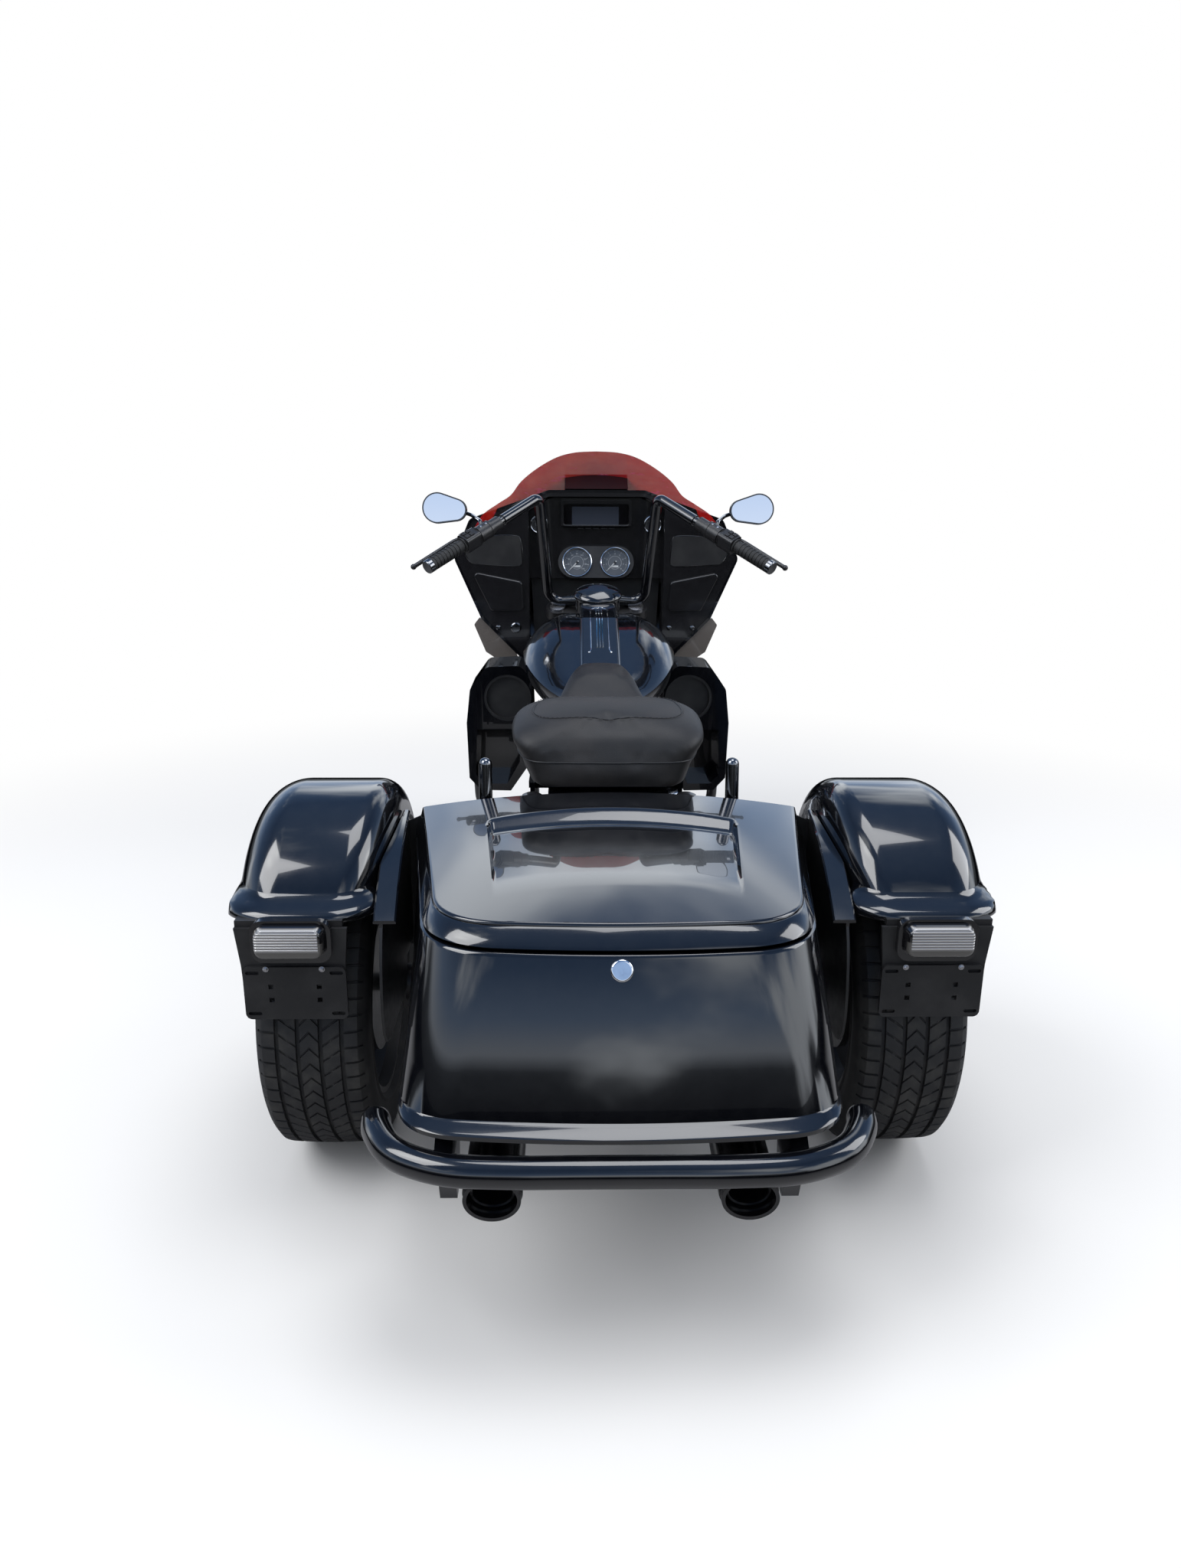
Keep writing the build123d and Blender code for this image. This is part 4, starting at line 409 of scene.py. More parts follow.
def tyre(node, body, centre, radius, width, seat, pitches, grooves, slants):
    """A tyre inside the form of its CAD ring. Columns: the sidewalls, then each rib with its grooves."""
    half = width / 2

    def crown(x):
        reach = abs(x) / half
        if reach < CROWN_SHARE:
            return radius - CROWN_FALL * (reach / CROWN_SHARE) ** 2
        if reach < SHOULDER_SHARE:
            return radius - CROWN_FALL - CROWN_FALL * (reach - CROWN_SHARE) / SHOULDER_WIDTH
        return radius - 2 * CROWN_FALL - EDGE_FALL * (reach - SHOULDER_SHARE) / EDGE_WIDTH

    # The sidewall: share of the half width, radius
    wall = [(0.86, seat), (0.875, seat + 0.003), (0.93, seat + 0.008), (0.955, seat + 0.012), (0.955, seat + 0.015),
            (0.935, seat + 0.019), (0.95, seat + 0.026), (0.985, seat + (radius - seat) * 0.45),
            (0.992, seat + (radius - seat) * 0.55), (0.984, seat + (radius - seat) * 0.6),
            (0.984, seat + (radius - seat) * 0.62), (0.968, radius - 0.026), (0.93, radius - 0.018),
            (0.9, radius - 0.0142)]
    columns = [(-x * half, r, 0, 0, 0) for x, r in wall]
    edges = [-TREAD_EDGE * half]
    for groove in grooves:
        edges += [groove - GROOVE_HALF, groove + GROOVE_HALF]
    edges.append(TREAD_EDGE * half)
    ribs = list(zip(edges[::2], edges[1::2]))
    for number, (low, high) in enumerate(ribs):
        outer = number in (0, len(ribs) - 1)
        slant = slants[number]
        shift = 0.5 * (number % 2)
        if number:
            columns.append((low - 0.0006, crown(low) - GROOVE_DEPTH, 0, shift, 0))
        for step in range(RIB_STEPS + 1):
            x = low + (high - low) * step / RIB_STEPS
            depth = SIPE_DEPTH * (1.0 if outer else 0.8)
            if not outer and step == RIB_STEPS // 2 and number % 2:
                depth = 0
            lean = slant * ((x - low) / (high - low) - 0.5)
            if number == len(ribs) // 2:
                lean = slant * abs((x - low) / (high - low) - 0.5)
            columns.append((x, crown(x), depth, shift, lean))
        if number < len(ribs) - 1:
            columns.append((high + 0.0006, crown(high) - GROOVE_DEPTH, 0, shift, 0))
    columns += [(x * half, r, 0, 0, 0) for x, r in wall[::-1]]
    points = []
    for pitch in range(pitches):
        for fraction, cut in PITCH_STEPS:
            for x, r, depth, shift, lean in columns:
                turn = 2 * pi * (pitch + fraction + shift + lean) / pitches
                reach = r - depth * cut
                points.append((centre[0] + x, centre[1] + reach * cos(turn), centre[2] + reach * sin(turn)))
    faces = wrapped(pitches * len(PITCH_STEPS), len(columns), round_columns=True)
    return piece(node + "_tread", points, faces, tread_rubber, body, [node], "tyre", sharp=30)


REAR_GROOVES = (-0.06, -0.021, 0.021, 0.06)
for side, x in (("left", -0.562), ("right", 0.562)):
    tyre("rear_tyre_" + side, "rear_wheel_" + side, (x, -0.629, 0.325), 0.325, 0.215, 0.2286, 66, REAR_GROOVES,
         (0.06, 0.7, 1.1, -0.7, -0.06))
tyre("front_tyre", "front_wheel", (0, 1.041, 0.319), 0.319, 0.13, 0.2413, 58, (-0.03, 0.03), (0.7, 1.2, -0.7))


# Round strands: seams, beads, rings and tubes

def strand_mesh(points, radius, sides=10, closed=False):
    """Points and faces of a round strand along a path, with rounded-off radii where a list is given."""
    path = [Vector(point) for point in points]
    count = len(path)
    radii = radius if isinstance(radius, (list, tuple)) else [radius] * count
    across = None
    made = []
    for i, point in enumerate(path):
        ahead = path[(i + 1) % count] if closed or i < count - 1 else point
        behind = path[i - 1] if closed or i else point
        run = (ahead - behind).normalized()
        if across is None:
            across = run.orthogonal().normalized()
        across = (across - run * across.dot(run)).normalized()
        other = run.cross(across)
        for k in range(sides):
            turn = 2 * pi * k / sides
            made.append(point + radii[i] * (cos(turn) * across + sin(turn) * other))
    return made, wrapped(count, sides, round_columns=True) if closed else capped(count, sides)


def smooth_path(points, steps=6, closed=False):
    """A path through the points with rounded bends."""
    path = [Vector(point) for point in points]
    count = len(path)
    made = []
    for i in range(count if closed else count - 1):
        if closed:
            a, b, c, d = (path[(i + k) % count] for k in (-1, 0, 1, 2))
        else:
            a, b, c, d = path[max(i - 1, 0)], path[i], path[i + 1], path[min(i + 2, count - 1)]
        for k in range(steps):
            t = k / steps
            made.append(0.5 * ((2 * b) + (c - a) * t + (2 * a - 5 * b + 4 * c - d) * t * t
                               + (3 * b - a - 3 * c + d) * t * t * t))
    if not closed:
        made.append(path[-1])
    return made


def mirrored(points):
    return [Vector((-point[0], point[1], point[2])) for point in points]


class Heap:
    """Small shapes gathered into one piece."""

    def __init__(self):
        self.points = []
        self.faces = []

    def put(self, points, faces):
        start = len(self.points)
        self.points += [Vector(point) for point in points]
        self.faces += [tuple(start + i for i in face) for face in faces]
        return self

    def strand(self, points, radius, sides=10, closed=False):
        return self.put(*strand_mesh(points, radius, sides, closed))

    def both(self, points, faces):
        self.put(points, faces)
        return self.put(mirrored(points), [tuple(face[::-1]) for face in faces])

    def slab(self, corners, rise):
        """A flat shape with straight sides: its corners in order and the way it stands."""
        rise = Vector(rise)
        points = [Vector(corner) for corner in corners] + [Vector(corner) + rise for corner in corners]
        return self.put(points, flat_faces(len(corners)))

    def turned(self, centre, axis, profile, sides=24):
        """A turned shape: its profile as (distance along the axis, radius)."""
        axis = Vector(axis).normalized()
        across = axis.orthogonal().normalized()
        other = axis.cross(across)
        points = []
        for along, radius in profile:
            for k in range(sides):
                turn = 2 * pi * k / sides
                points.append(Vector(centre) + axis * along + radius * (cos(turn) * across + sin(turn) * other))
        return self.put(points, capped(len(profile), sides))

    def done(self, name, material, body, **more):
        return piece(name, self.points, self.faces, material, body, **more)


# Seat: one padded form, simulated, then its seams

# Columns: y, half width, top, height of the widest line, bottom, half width at the bottom
SEAT_SECTIONS = (
    (0.188, 0.034, 0.858, 0.848, 0.800, 0.026), (0.168, 0.062, 0.872, 0.850, 0.770, 0.050),
    (0.110, 0.092, 0.866, 0.826, 0.745, 0.080), (0.040, 0.124, 0.822, 0.788, 0.728, 0.108),
    (-0.040, 0.166, 0.776, 0.758, 0.716, 0.132), (-0.130, 0.192, 0.756, 0.742, 0.708, 0.150),
    (-0.200, 0.200, 0.778, 0.764, 0.708, 0.156), (-0.250, 0.205, 0.828, 0.800, 0.710, 0.160),
    (-0.310, 0.211, 0.874, 0.822, 0.714, 0.164), (-0.380, 0.215, 0.890, 0.828, 0.718, 0.166),
    (-0.450, 0.214, 0.884, 0.828, 0.722, 0.166), (-0.510, 0.206, 0.868, 0.822, 0.726, 0.162),
    (-0.545, 0.180, 0.846, 0.814, 0.730, 0.146), (-0.560, 0.140, 0.818, 0.806, 0.736, 0.120),
)
SEAT_RING = 44
SEAT_STEPS = 5
SEAT_VOXEL = 0.006
# The padding: its pressure, how far it may swell, its cloth's stiffness and the frames that it takes to settle
SEAT_PRESSURE, SEAT_SWELL = 4.0, 0.007
CLOTH_STRETCH, CLOTH_BEND, CLOTH_FRAMES = 22, 3, 20
# Below this height and in front of this place it is held
SEAT_BASE, SEAT_NOSE = 0.745, 0.15
# Shares of half the outline at which its foot and then its lower side end
FOOT_SHARE, SIDE_SHARE = 0.2, 0.5
PIPING_HEIGHT = 0.79


def seat_sections():
    """The table's rows joined by smooth curves."""
    rows = [Vector(row[:3]) for row in SEAT_SECTIONS], [Vector(row[3:]) for row in SEAT_SECTIONS]
    first, second = (smooth_path(part, SEAT_STEPS) for part in rows)
    return [(*a, *b) for a, b in zip(first, second)]


def seat_point(section, share, inset=0.0):
    """A point of the section's outline: share 0 to 1 runs up the right side and down the left."""
    y, half, top, mid, low, foot = section
    half, top, low, foot = half - inset, top - inset, low + inset, foot - inset
    left = share > 0.5
    along = 2 * (1 - share if left else share)
    if along < FOOT_SHARE:
        x, z = foot * along / FOOT_SHARE, low
    elif along < SIDE_SHARE:
        t = (along - FOOT_SHARE) / (SIDE_SHARE - FOOT_SHARE)
        x = foot + (half - foot) * (0.75 * t + 0.25 * t ** 4)
        z = low + (mid - low) * t
    else:
        t = (along - SIDE_SHARE) / (1 - SIDE_SHARE) * pi / 2
        x, z = half * cos(t) ** 0.62, mid + (top - mid) * sin(t) ** 0.8
    return Vector((-x if left else x, y, z))


def vinyl():
    look = Look("grained_black_vinyl", (0.016, 0.016, 0.017), 0.46, specular=0.4)
    grain = look.cells(520.0, at=look.place((1, 0.8, 1)), feature="SMOOTH_F1")
    wear = look.noise(9.0, 5.0, 0.6)
    return look.set({"Base Color": look.blend(wear.clamped(0.35, 0.75), (0.014, 0.014, 0.015), (0.026, 0.024, 0.024)),
                     "Roughness": 0.4 + wear * 0.16 + grain * 0.1, "Normal": look.bump(grain, 0.25, 0.0005)})


def swell(cushion):
    """Inflates the cushion as cloth, with every point's way capped and its foot held."""
    rest = [vertex.co.copy() for vertex in cushion.data.vertices]
    held = cushion.vertex_groups.new(name="held")
    held.add([i for i, point in enumerate(rest) if point.z < SEAT_BASE or point.y > SEAT_NOSE], 1.0, "REPLACE")
    cloth = cushion.modifiers.new("cloth", "CLOTH")
    cloth.settings.use_pressure = True
    cloth.settings.uniform_pressure_force = SEAT_PRESSURE
    cloth.settings.tension_stiffness = CLOTH_STRETCH
    cloth.settings.compression_stiffness = CLOTH_STRETCH
    cloth.settings.bending_stiffness = CLOTH_BEND
    cloth.settings.quality = 6
    cloth.settings.effector_weights.gravity = 0
    cloth.settings.vertex_group_mass = "held"
    cloth.collision_settings.use_collision = False
    scene = bpy.context.scene
    for step in range(CLOTH_FRAMES):
        scene.frame_set(step + 1)
    settled = cushion.evaluated_get(bpy.context.evaluated_depsgraph_get())
    moved = [vertex.co.copy() for vertex in settled.data.vertices]
    cushion.modifiers.remove(cloth)
    scene.frame_set(1)
    for vertex, start, end in zip(cushion.data.vertices, rest, moved):
        way = end - start
        vertex.co = start + (way if way.length <= SEAT_SWELL else way.normalized() * SEAT_SWELL)


def apply_modifiers(made):
    """Replaces the mesh by its shape with all modifiers."""
    shape = bpy.data.meshes.new_from_object(made.evaluated_get(bpy.context.evaluated_depsgraph_get()))
    made.modifiers.clear()
    made.data = shape


def seat():
    sections = seat_sections()
    points = [seat_point(section, k / SEAT_RING, 0.003) for section in sections for k in range(SEAT_RING)]
    faces = capped(len(sections), SEAT_RING)
    cushion = piece("seat_pad", points, faces, vinyl(), "chassis", ["seat"], "vinyl", sharp=180)
    remesh = cushion.modifiers.new("remesh", "REMESH")
    remesh.mode = "VOXEL"
    remesh.voxel_size = SEAT_VOXEL
    apply_modifiers(cushion)
    swell(cushion)
    smooth = cushion.modifiers.new("smooth", "SMOOTH")
    smooth.iterations = 6
    divide = cushion.modifiers.new("divide", "SUBSURF")
    divide.levels = 1
    divide.render_levels = 1
    apply_modifiers(cushion)
    cushion.data.shade_smooth()
    return cushion


def on_seat(cushion, start, way):
    """Where a ray first meets the seat, and the outward normal there."""
    hit, place, normal, _ = cushion.ray_cast(start, way)
    return (place, normal) if hit else (None, None)


INSET_CORNERS = ((-0.128, -0.335), (-0.155, -0.40), (-0.158, -0.452), (-0.13, -0.487), (-0.06, -0.496),
                 (0.06, -0.496), (0.13, -0.487), (0.158, -0.452), (0.155, -0.40), (0.128, -0.335),
                 (0.06, -0.317), (-0.06, -0.317))


def seat_seams(cushion):
    """The piping under the passenger pad and the stitched outline on its top."""
    welt = Heap()
    loop = []
    for k in range(61):
        turn = pi * (k / 60)
        centre = Vector((0, -0.36, PIPING_HEIGHT))
        way = Vector((cos(turn), -sin(turn), 0))
        place, _ = on_seat(cushion, centre + way * 0.5, -way)
        if place:
            loop.append(place)
    right = [on_seat(cushion, Vector((0.5, y, PIPING_HEIGHT)), Vector((-1, 0, 0)))[0] for y in (-0.27, -0.3, -0.33)]
    right = [point for point in right if point]
    welt.strand(right + loop + mirrored(right[::-1]), 0.0022, 8)
    welt.done("seat_piping", vinyl_trim, "chassis", finish="vinyl")
    outline = smooth_path([(x, y, 1.2) for x, y in INSET_CORNERS], 12, closed=True)
    line = Heap()
    path = []
    for point in outline:
        place, normal = on_seat(cushion, point, Vector((0, 0, -1)))
        if place:
            path.append(place + normal * 0.0002)
    line.strand(path, 0.0016, 6, closed=True)
    line.done("seat_inset_welt", vinyl_trim, "chassis", finish="vinyl")
    thread = Heap()
    for i in range(0, len(path) - 1, 2):
        start, end = path[i], path[i + 1]
        lift = Vector((0, 0, 0.0012))
        outward = (start - Vector((0, -0.42, start.z))).normalized() * 0.005
        thread.strand([start + outward + lift * 0.4, start.lerp(end, 0.3) + outward + lift,
                       start.lerp(end, 0.7) + outward + lift, end + outward + lift * 0.4], 0.0006, 5)
    thread.done("seat_stitches", thread_grey, "chassis", finish="vinyl")


seat_seams(seat())


# Instruments: printed dials, chrome rings, screen and switch gear

POD_OUT = Vector((0, -cos(radians(14)), sin(radians(14))))
POD_UP = Vector((0, sin(radians(14)), cos(radians(14))))
POD_CENTRE = Vector((0, 0.838, 1.07)) + POD_OUT * 0.0122
WALL_OUT = Vector((0, -1, 0))
UP = Vector((0, 0, 1))
ACROSS = Vector((1, 0, 0))
SWEEP = radians(135)
LARGE_DIAL, SMALL_DIAL = 0.0415, 0.0235


def dial_point(dial_at, turn, reach, lift=0.0):
    """A point on a dial: turn is clockwise from its top."""
    centre, up, out = dial_at
    return centre + reach * (sin(turn) * ACROSS + cos(turn) * up) + out * lift


def dial_circle(dial_at, reach, lift, count):
    return [dial_point(dial_at, 2 * pi * k / count, reach, lift) for k in range(count)]


def tick(heap, dial_at, turn, low, high, wide):
    _, up, out = dial_at
    away = (sin(turn) * ACROSS + cos(turn) * up).cross(out) * (wide / 2)
    inner, outer = (dial_point(dial_at, turn, reach, 0.0004) for reach in (low, high))
    heap.slab([inner - away, outer - away, outer + away, inner + away], out * 0.0005)


def number_mesh(text, size):
    """Flat faces of a short text, centred, in its own plane."""
    curve = bpy.data.curves.new("number", "FONT")
    curve.body = text
    curve.size = size
    curve.align_x = "CENTER"
    curve.align_y = "CENTER"
    curve.resolution_u = 1
    holder = bpy.data.objects.new("number", curve)
    bpy.context.scene.collection.objects.link(holder)
    mesh = bpy.data.meshes.new_from_object(holder.evaluated_get(bpy.context.evaluated_depsgraph_get()))
    points = [vertex.co.copy() for vertex in mesh.vertices]
    faces = [tuple(face.vertices) for face in mesh.polygons]
    bpy.data.objects.remove(holder)
    bpy.data.curves.remove(curve)
    bpy.data.meshes.remove(mesh)
    return points, faces


def printed_dial(marks, rings, dial_at, radius, majors, minors, step, needle):
    """Ticks, numbers and needle of one dial: majors is how many long ticks, needle its share of the sweep."""
    centre, up, out = dial_at
    count = (majors - 1) * minors
    for k in range(count + 1):
        turn = -SWEEP + 2 * SWEEP * k / count
        long = k % minors == 0
        start, wide = (0.82, 0.03) if long else (0.88, 0.014)
        tick(marks, dial_at, turn, radius * start, radius * 0.95, radius * wide)
        if long and step:
            points, faces = number_mesh(str(step * (k // minors)), radius * 0.17)
            place = dial_point(dial_at, turn, radius * 0.67, 0.0005)
            marks.put([place + point.x * ACROSS + point.y * up for point in points], faces)
    turn = -SWEEP + 2 * SWEEP * needle
    tip, tail = (dial_point(dial_at, turn, radius * share, 0.003) for share in (0.8, -0.16))
    away = (tip - tail).normalized().cross(out)
    marks.slab([tail - away * radius * 0.05, tip - away * radius * 0.012, tip + away * radius * 0.012,
                tail + away * radius * 0.05], out * 0.0008)
    rings.turned(centre, out, [(0.0012, radius * 0.1), (0.0052, radius * 0.09), (0.0056, radius * 0.03)], 20)
    marks.strand(dial_circle(dial_at, radius * 0.5, 0.0003, 40), 0.0004, 4, True)


def instruments():
    marks, rings, hubs = Heap(), Heap(), Heap()
    for x, minors, step in ((-0.061, 4, 20), (0.061, 5, 1)):
        centre = POD_CENTRE + ACROSS * x
        at = (centre, POD_UP, POD_OUT)
        printed_dial(marks, hubs, at, LARGE_DIAL, 9, minors, step, 0.0)
        rings.strand(dial_circle(at, 0.0456, 0.0152, 64), 0.0022, 10, True)
        marks.slab([centre + ACROSS * a + POD_UP * b + POD_OUT * 0.0003
                    for a, b in ((-0.011, -0.009), (0.011, -0.009), (0.011, -0.015), (-0.011, -0.015))],
                   POD_OUT * 0.0002)
    for x in (-0.182, 0.182):
        at = (Vector((x, 0.8518, 1.192)), UP, WALL_OUT)
        printed_dial(marks, hubs, at, SMALL_DIAL, 5, 4, 0, 0.3)
        rings.strand(dial_circle(at, 0.0268, 0.0106, 56), 0.0024, 10, True)
    marks.done("dial_marks", print_white, "chassis", finish="dials")
    rings.done("dial_rings", bright, "chassis", finish="chrome")
    hubs.done("dial_hubs", satin, "chassis", finish="dials")
    screen = Heap()
    screen.slab([(x, 0.8357, z) for x, z in ((-0.1035, 1.1825), (0.1035, 1.1825), (0.1035, 1.2735), (-0.1035, 1.2735))],
                (0, -0.0012, 0))
    screen.done("display", glass_display, "chassis", finish="display")
    keys = Heap()
    for x in (-0.05, -0.025, 0.0, 0.025, 0.05):
        keys.slab([(x - 0.009, 0.8345, 1.178), (x + 0.009, 0.8345, 1.178), (x + 0.009, 0.8345, 1.1815),
                   (x - 0.009, 0.8345, 1.1815)], (0, -0.004, 0))
    keys.done("display_keys", plastic, "chassis", finish="black_plastic")


instruments()


# Speaker grilles: upright ribs inside a rolled border

SPEAKER_CORNERS = ((0.240, 1.160), (0.336, 1.160), (0.418, 1.112), (0.396, 1.074), (0.234, 1.066))
SPEAKER_FACE = 0.7722
# The ribs' count, the first one's place, their pitch, half width and height, and their gap to the border
RIB_COUNT, FIRST_RIB, RIB_PITCH = 62, 0.233, 0.0031
RIB_HALF, RIB_TALL, RIB_GAP = 0.0008, 0.0016, 0.006
SHORTEST_SPAN = 0.02


def crossings(corners, x):
    """The lowest and highest place where an upright line meets an outline."""
    found = []
    for (ax, az), (bx, bz) in zip(corners, corners[1:] + corners[:1]):
        if min(ax, bx) <= x < max(ax, bx):
            found.append(az + (bz - az) * (x - ax) / (bx - ax))
    return (min(found), max(found)) if len(found) > 1 else None


def rounded_loop(corners, y, share=0.16):
    """An outline's corners cut twice, as points at one depth."""
    loop = []
    count = len(corners)
    for i, (x, z) in enumerate(corners):
        for other, part in ((corners[i - 1], share), (corners[(i + 1) % count], share)):
            loop.append((x + (other[0] - x) * part, y, z + (other[1] - z) * part))
    return smooth_path(loop, 4, closed=True)


def speaker_ribs():
    ribs, border = Heap(), Heap()
    for side in (-1, 1):
        for k in range(RIB_COUNT):
            x = FIRST_RIB + k * RIB_PITCH
            span = crossings(SPEAKER_CORNERS, x)
            if not span or span[1] - span[0] < SHORTEST_SPAN:
                continue
            low, high = span[0] + RIB_GAP, span[1] - RIB_GAP
            corners = ((x - RIB_HALF, low), (x + RIB_HALF, low), (x + RIB_HALF, high), (x - RIB_HALF, high))
            ribs.slab([(side * across, SPEAKER_FACE, z) for across, z in corners], (0, -RIB_TALL, 0))
        loop = rounded_loop(SPEAKER_CORNERS, SPEAKER_FACE)
        border.strand([(side * point[0], point[1], point[2]) for point in loop], 0.0022, 8, True)
    ribs.done("speaker_ribs", grille_grey, "chassis", finish="black_plastic")
    border.done("speaker_borders", sleek, "chassis", finish="black_plastic")


speaker_ribs()


# Console strip: a beaded loop and three bright ribs laid on its top

def over(node, x, y):
    """The highest point of a CAD piece over a place."""
    shape = cad[node]
    back = shape.matrix_world.inverted()
    hit, place, _, _ = shape.ray_cast(back @ Vector((x, y, 2)), (back.to_3x3() @ Vector((0, 0, -1))).normalized())
    return shape.matrix_world @ place if hit else None


def laid(node, route, lift):
    """A route of (x, y) laid on a CAD piece, lifted a little."""
    found = [over(node, x, y) for x, y in route]
    return [point + Vector((0, 0, lift)) for point in found if point]


def console_trim():
    bead, ribs = Heap(), Heap()
    rail = [(0.025, 0.215 + 0.01 * k) for k in range(22)]
    turn = [(0.025 * cos(a), 0.43 + 0.03 * sin(a)) for a in (pi * k / 12 for k in range(13))]
    tail = [(0.0285, 0.205), (0.0325, 0.203)]
    other_side = [(-x, y) for x, y in rail[::-1] + tail]
    bead.strand(laid("console", tail[::-1] + rail + turn + other_side, 0.0005), 0.0014, 8)
    for x in (-0.0078, 0.0, 0.0078):
        for low, high in ((0.225, 0.385), (0.4, 0.44)):
            ribs.strand(laid("console", [(x, low + (high - low) * k / 12) for k in range(13)], 0.0004), 0.0017, 8)
    bead.done("console_bead", bright, "chassis", finish="chrome")
    # The console ribs carry a painted blue sky reflection in their chrome.
    ribs.done("console_ribs", chrome_with_painted_reflection, "chassis", finish="chrome")


console_trim()


# Switch gear, bar ends and buttons on the handlebar

BAR_PEAK = Vector((0.174, 0.560, 1.285))
BAR_END = Vector((0.470, 0.279, 1.110))
GRIP_RUN = (BAR_END - BAR_PEAK).normalized()
FACE_OUT = (Vector((0, -0.53, 0.85)) - GRIP_RUN * Vector((0, -0.53, 0.85)).dot(GRIP_RUN)).normalized()
FACE_SIDE = GRIP_RUN.cross(FACE_OUT)


def on_bar(reach, out=0.0, side=0.0):
    """A point by its distance in from the right bar's end, and off the bar's line."""
    return BAR_END - GRIP_RUN * reach + FACE_OUT * out + FACE_SIDE * side


def switch_gear():
    buttons, caps, screws, seams = Heap(), Heap(), Heap(), Heap()
    spots = [(reach, side) for reach in (0.148, 0.164) for side in (-0.010, 0.006)]
    key, cap, screw, seam = Heap(), Heap(), Heap(), Heap()
    for reach, side in spots:
        key.slab([on_bar(reach + a, 0.0226, side + b) for a, b in
                  ((-0.006, -0.006), (0.006, -0.006), (0.006, 0.006), (-0.006, 0.006))], FACE_OUT * 0.0036)
    key.slab([on_bar(0.155 + a, 0.008 + b, -0.0225) for a, b in
              ((-0.008, -0.009), (0.012, -0.009), (0.012, 0.005), (-0.008, 0.005))], FACE_SIDE * -0.007)
    cap.turned(BAR_END, GRIP_RUN, [(-0.012, 0.0192), (0.001, 0.0192), (0.003, 0.0175), (0.0036, 0.001)], 28)
    for reach in (0.206, 0.226):
        screw.turned(on_bar(reach, 0.0228, 0.0), FACE_OUT, [(0, 0.0036), (0.0018, 0.0034), (0.0022, 0.0014)], 12)
    for reach in (0.186, 0.2305):
        seam.strand([on_bar(reach, 0.0245 * cos(a), 0.0245 * sin(a)) for a in (2 * pi * k / 32 for k in range(32))],
                    0.0009, 6, True)
    for heap, part in ((buttons, key), (caps, cap), (screws, screw), (seams, seam)):
        heap.both(part.points, part.faces)
    buttons.done("switch_buttons", plastic, "steering", finish="black_plastic")
    caps.done("grip_caps", dark_bright, "steering", finish="satin_black")
    screws.done("control_screws", alloy, "steering", finish="steel")
    seams.done("control_seams", soft_rubber, "steering", finish="rubber")


switch_gear()


# Rear fenders: a crowned skin on its side profile, and the flared lip round its rear edge

FENDER_CENTRE = (-0.655, 0.470)
FENDER_RADIUS = 0.304
FENDER_FRONT = radians(33)
FENDER_REAR = radians(154.6)
FENDER_BOTTOM = (0.370, 0.600)
FENDER_WALL = 0.006
FENDER_OUTER = 0.7
# The inner edge: its place, and where and on what radius it turns outwards
FENDER_INNER, INNER_BEND_Y, INNER_BEND = 0.426, -0.62, 1.1402
CROWN_IN, CROWN_OUT = 0.048, 0.088
FENDER_STEPS = 14
ARCH_CENTRE, ARCH_RADIUS = (-0.629, 0.325), 0.348
REAR_HALF_Y = -0.745


def fender_inner_x(y):
    """The fender's inner edge, which turns outwards to the rear."""
    if y > INNER_BEND_Y:
        return FENDER_INNER
    return FENDER_INNER + INNER_BEND - sqrt(INNER_BEND ** 2 - (y - INNER_BEND_Y) ** 2)


def crown_reach(depth, radius):
    """How far in from the side a crown's surface lies at a depth below its top."""
    return 0.0 if depth >= radius else radius - sqrt(max(radius ** 2 - (radius - depth) ** 2, 0.0))


def fender_profile():
    """Rows of the side profile: y, z and the outward way."""
    cy, cz = FENDER_CENTRE
    way = (cos(FENDER_FRONT), sin(FENDER_FRONT))
    shoulder = (cy + FENDER_RADIUS * way[0], cz + FENDER_RADIUS * way[1])
    fall = shoulder[1] - FENDER_BOTTOM[0] - 0.0006
    rows = [(shoulder[0] + fall * t * tan(FENDER_FRONT), shoulder[1] - fall * t, way)
            for t in (1.0, 0.97, 0.9, 0.8, 0.66, 0.5, 0.34, 0.17)]
    for k in range(45):
        turn = FENDER_FRONT + (FENDER_REAR - FENDER_FRONT) * k / 44
        way = (cos(turn), sin(turn))
        rows.append((cy + FENDER_RADIUS * way[0], cz + FENDER_RADIUS * way[1], way))
    return rows


def fender_depth(y, z, way):
    """How deep the side walls run from the profile before the arch or the lower edge."""
    away = (y - ARCH_CENTRE[0], z - ARCH_CENTRE[1])
    along = away[0] * way[0] + away[1] * way[1]
    across = away[0] ** 2 + away[1] ** 2 - along ** 2
    depth = along - sqrt(max(ARCH_RADIUS ** 2 - across, 0.0))
    floor = FENDER_BOTTOM[1] if y < REAR_HALF_Y else FENDER_BOTTOM[0]
    if way[1] > 0.05 and (y < REAR_HALF_Y or way[0] > 0.8):
        depth = min(depth, (z - floor) / way[1])
    return max(depth, 0.0004)


def fender_layer(row, inset):
    """One row of points across the fender, from the foot of its inner wall to that of its outer wall."""
    y, z, way = row
    depth = max(fender_depth(y, z, way) - inset, 0.0003)
    points = []
    for inner in (True, False):
        radius = (CROWN_IN if inner else CROWN_OUT) - inset
        side = []
        for k in range(FENDER_STEPS + 1):
            deep = depth * (1 - k / FENDER_STEPS) ** 2
            here_y, here_z = y - (inset + deep) * way[0], z - (inset + deep) * way[1]
            reach = crown_reach(deep, radius) + inset
            x = fender_inner_x(here_y) + reach if inner else FENDER_OUTER - reach
            side.append(Vector((x, here_y, here_z)))
        points += side if inner else side[::-1]
    return points


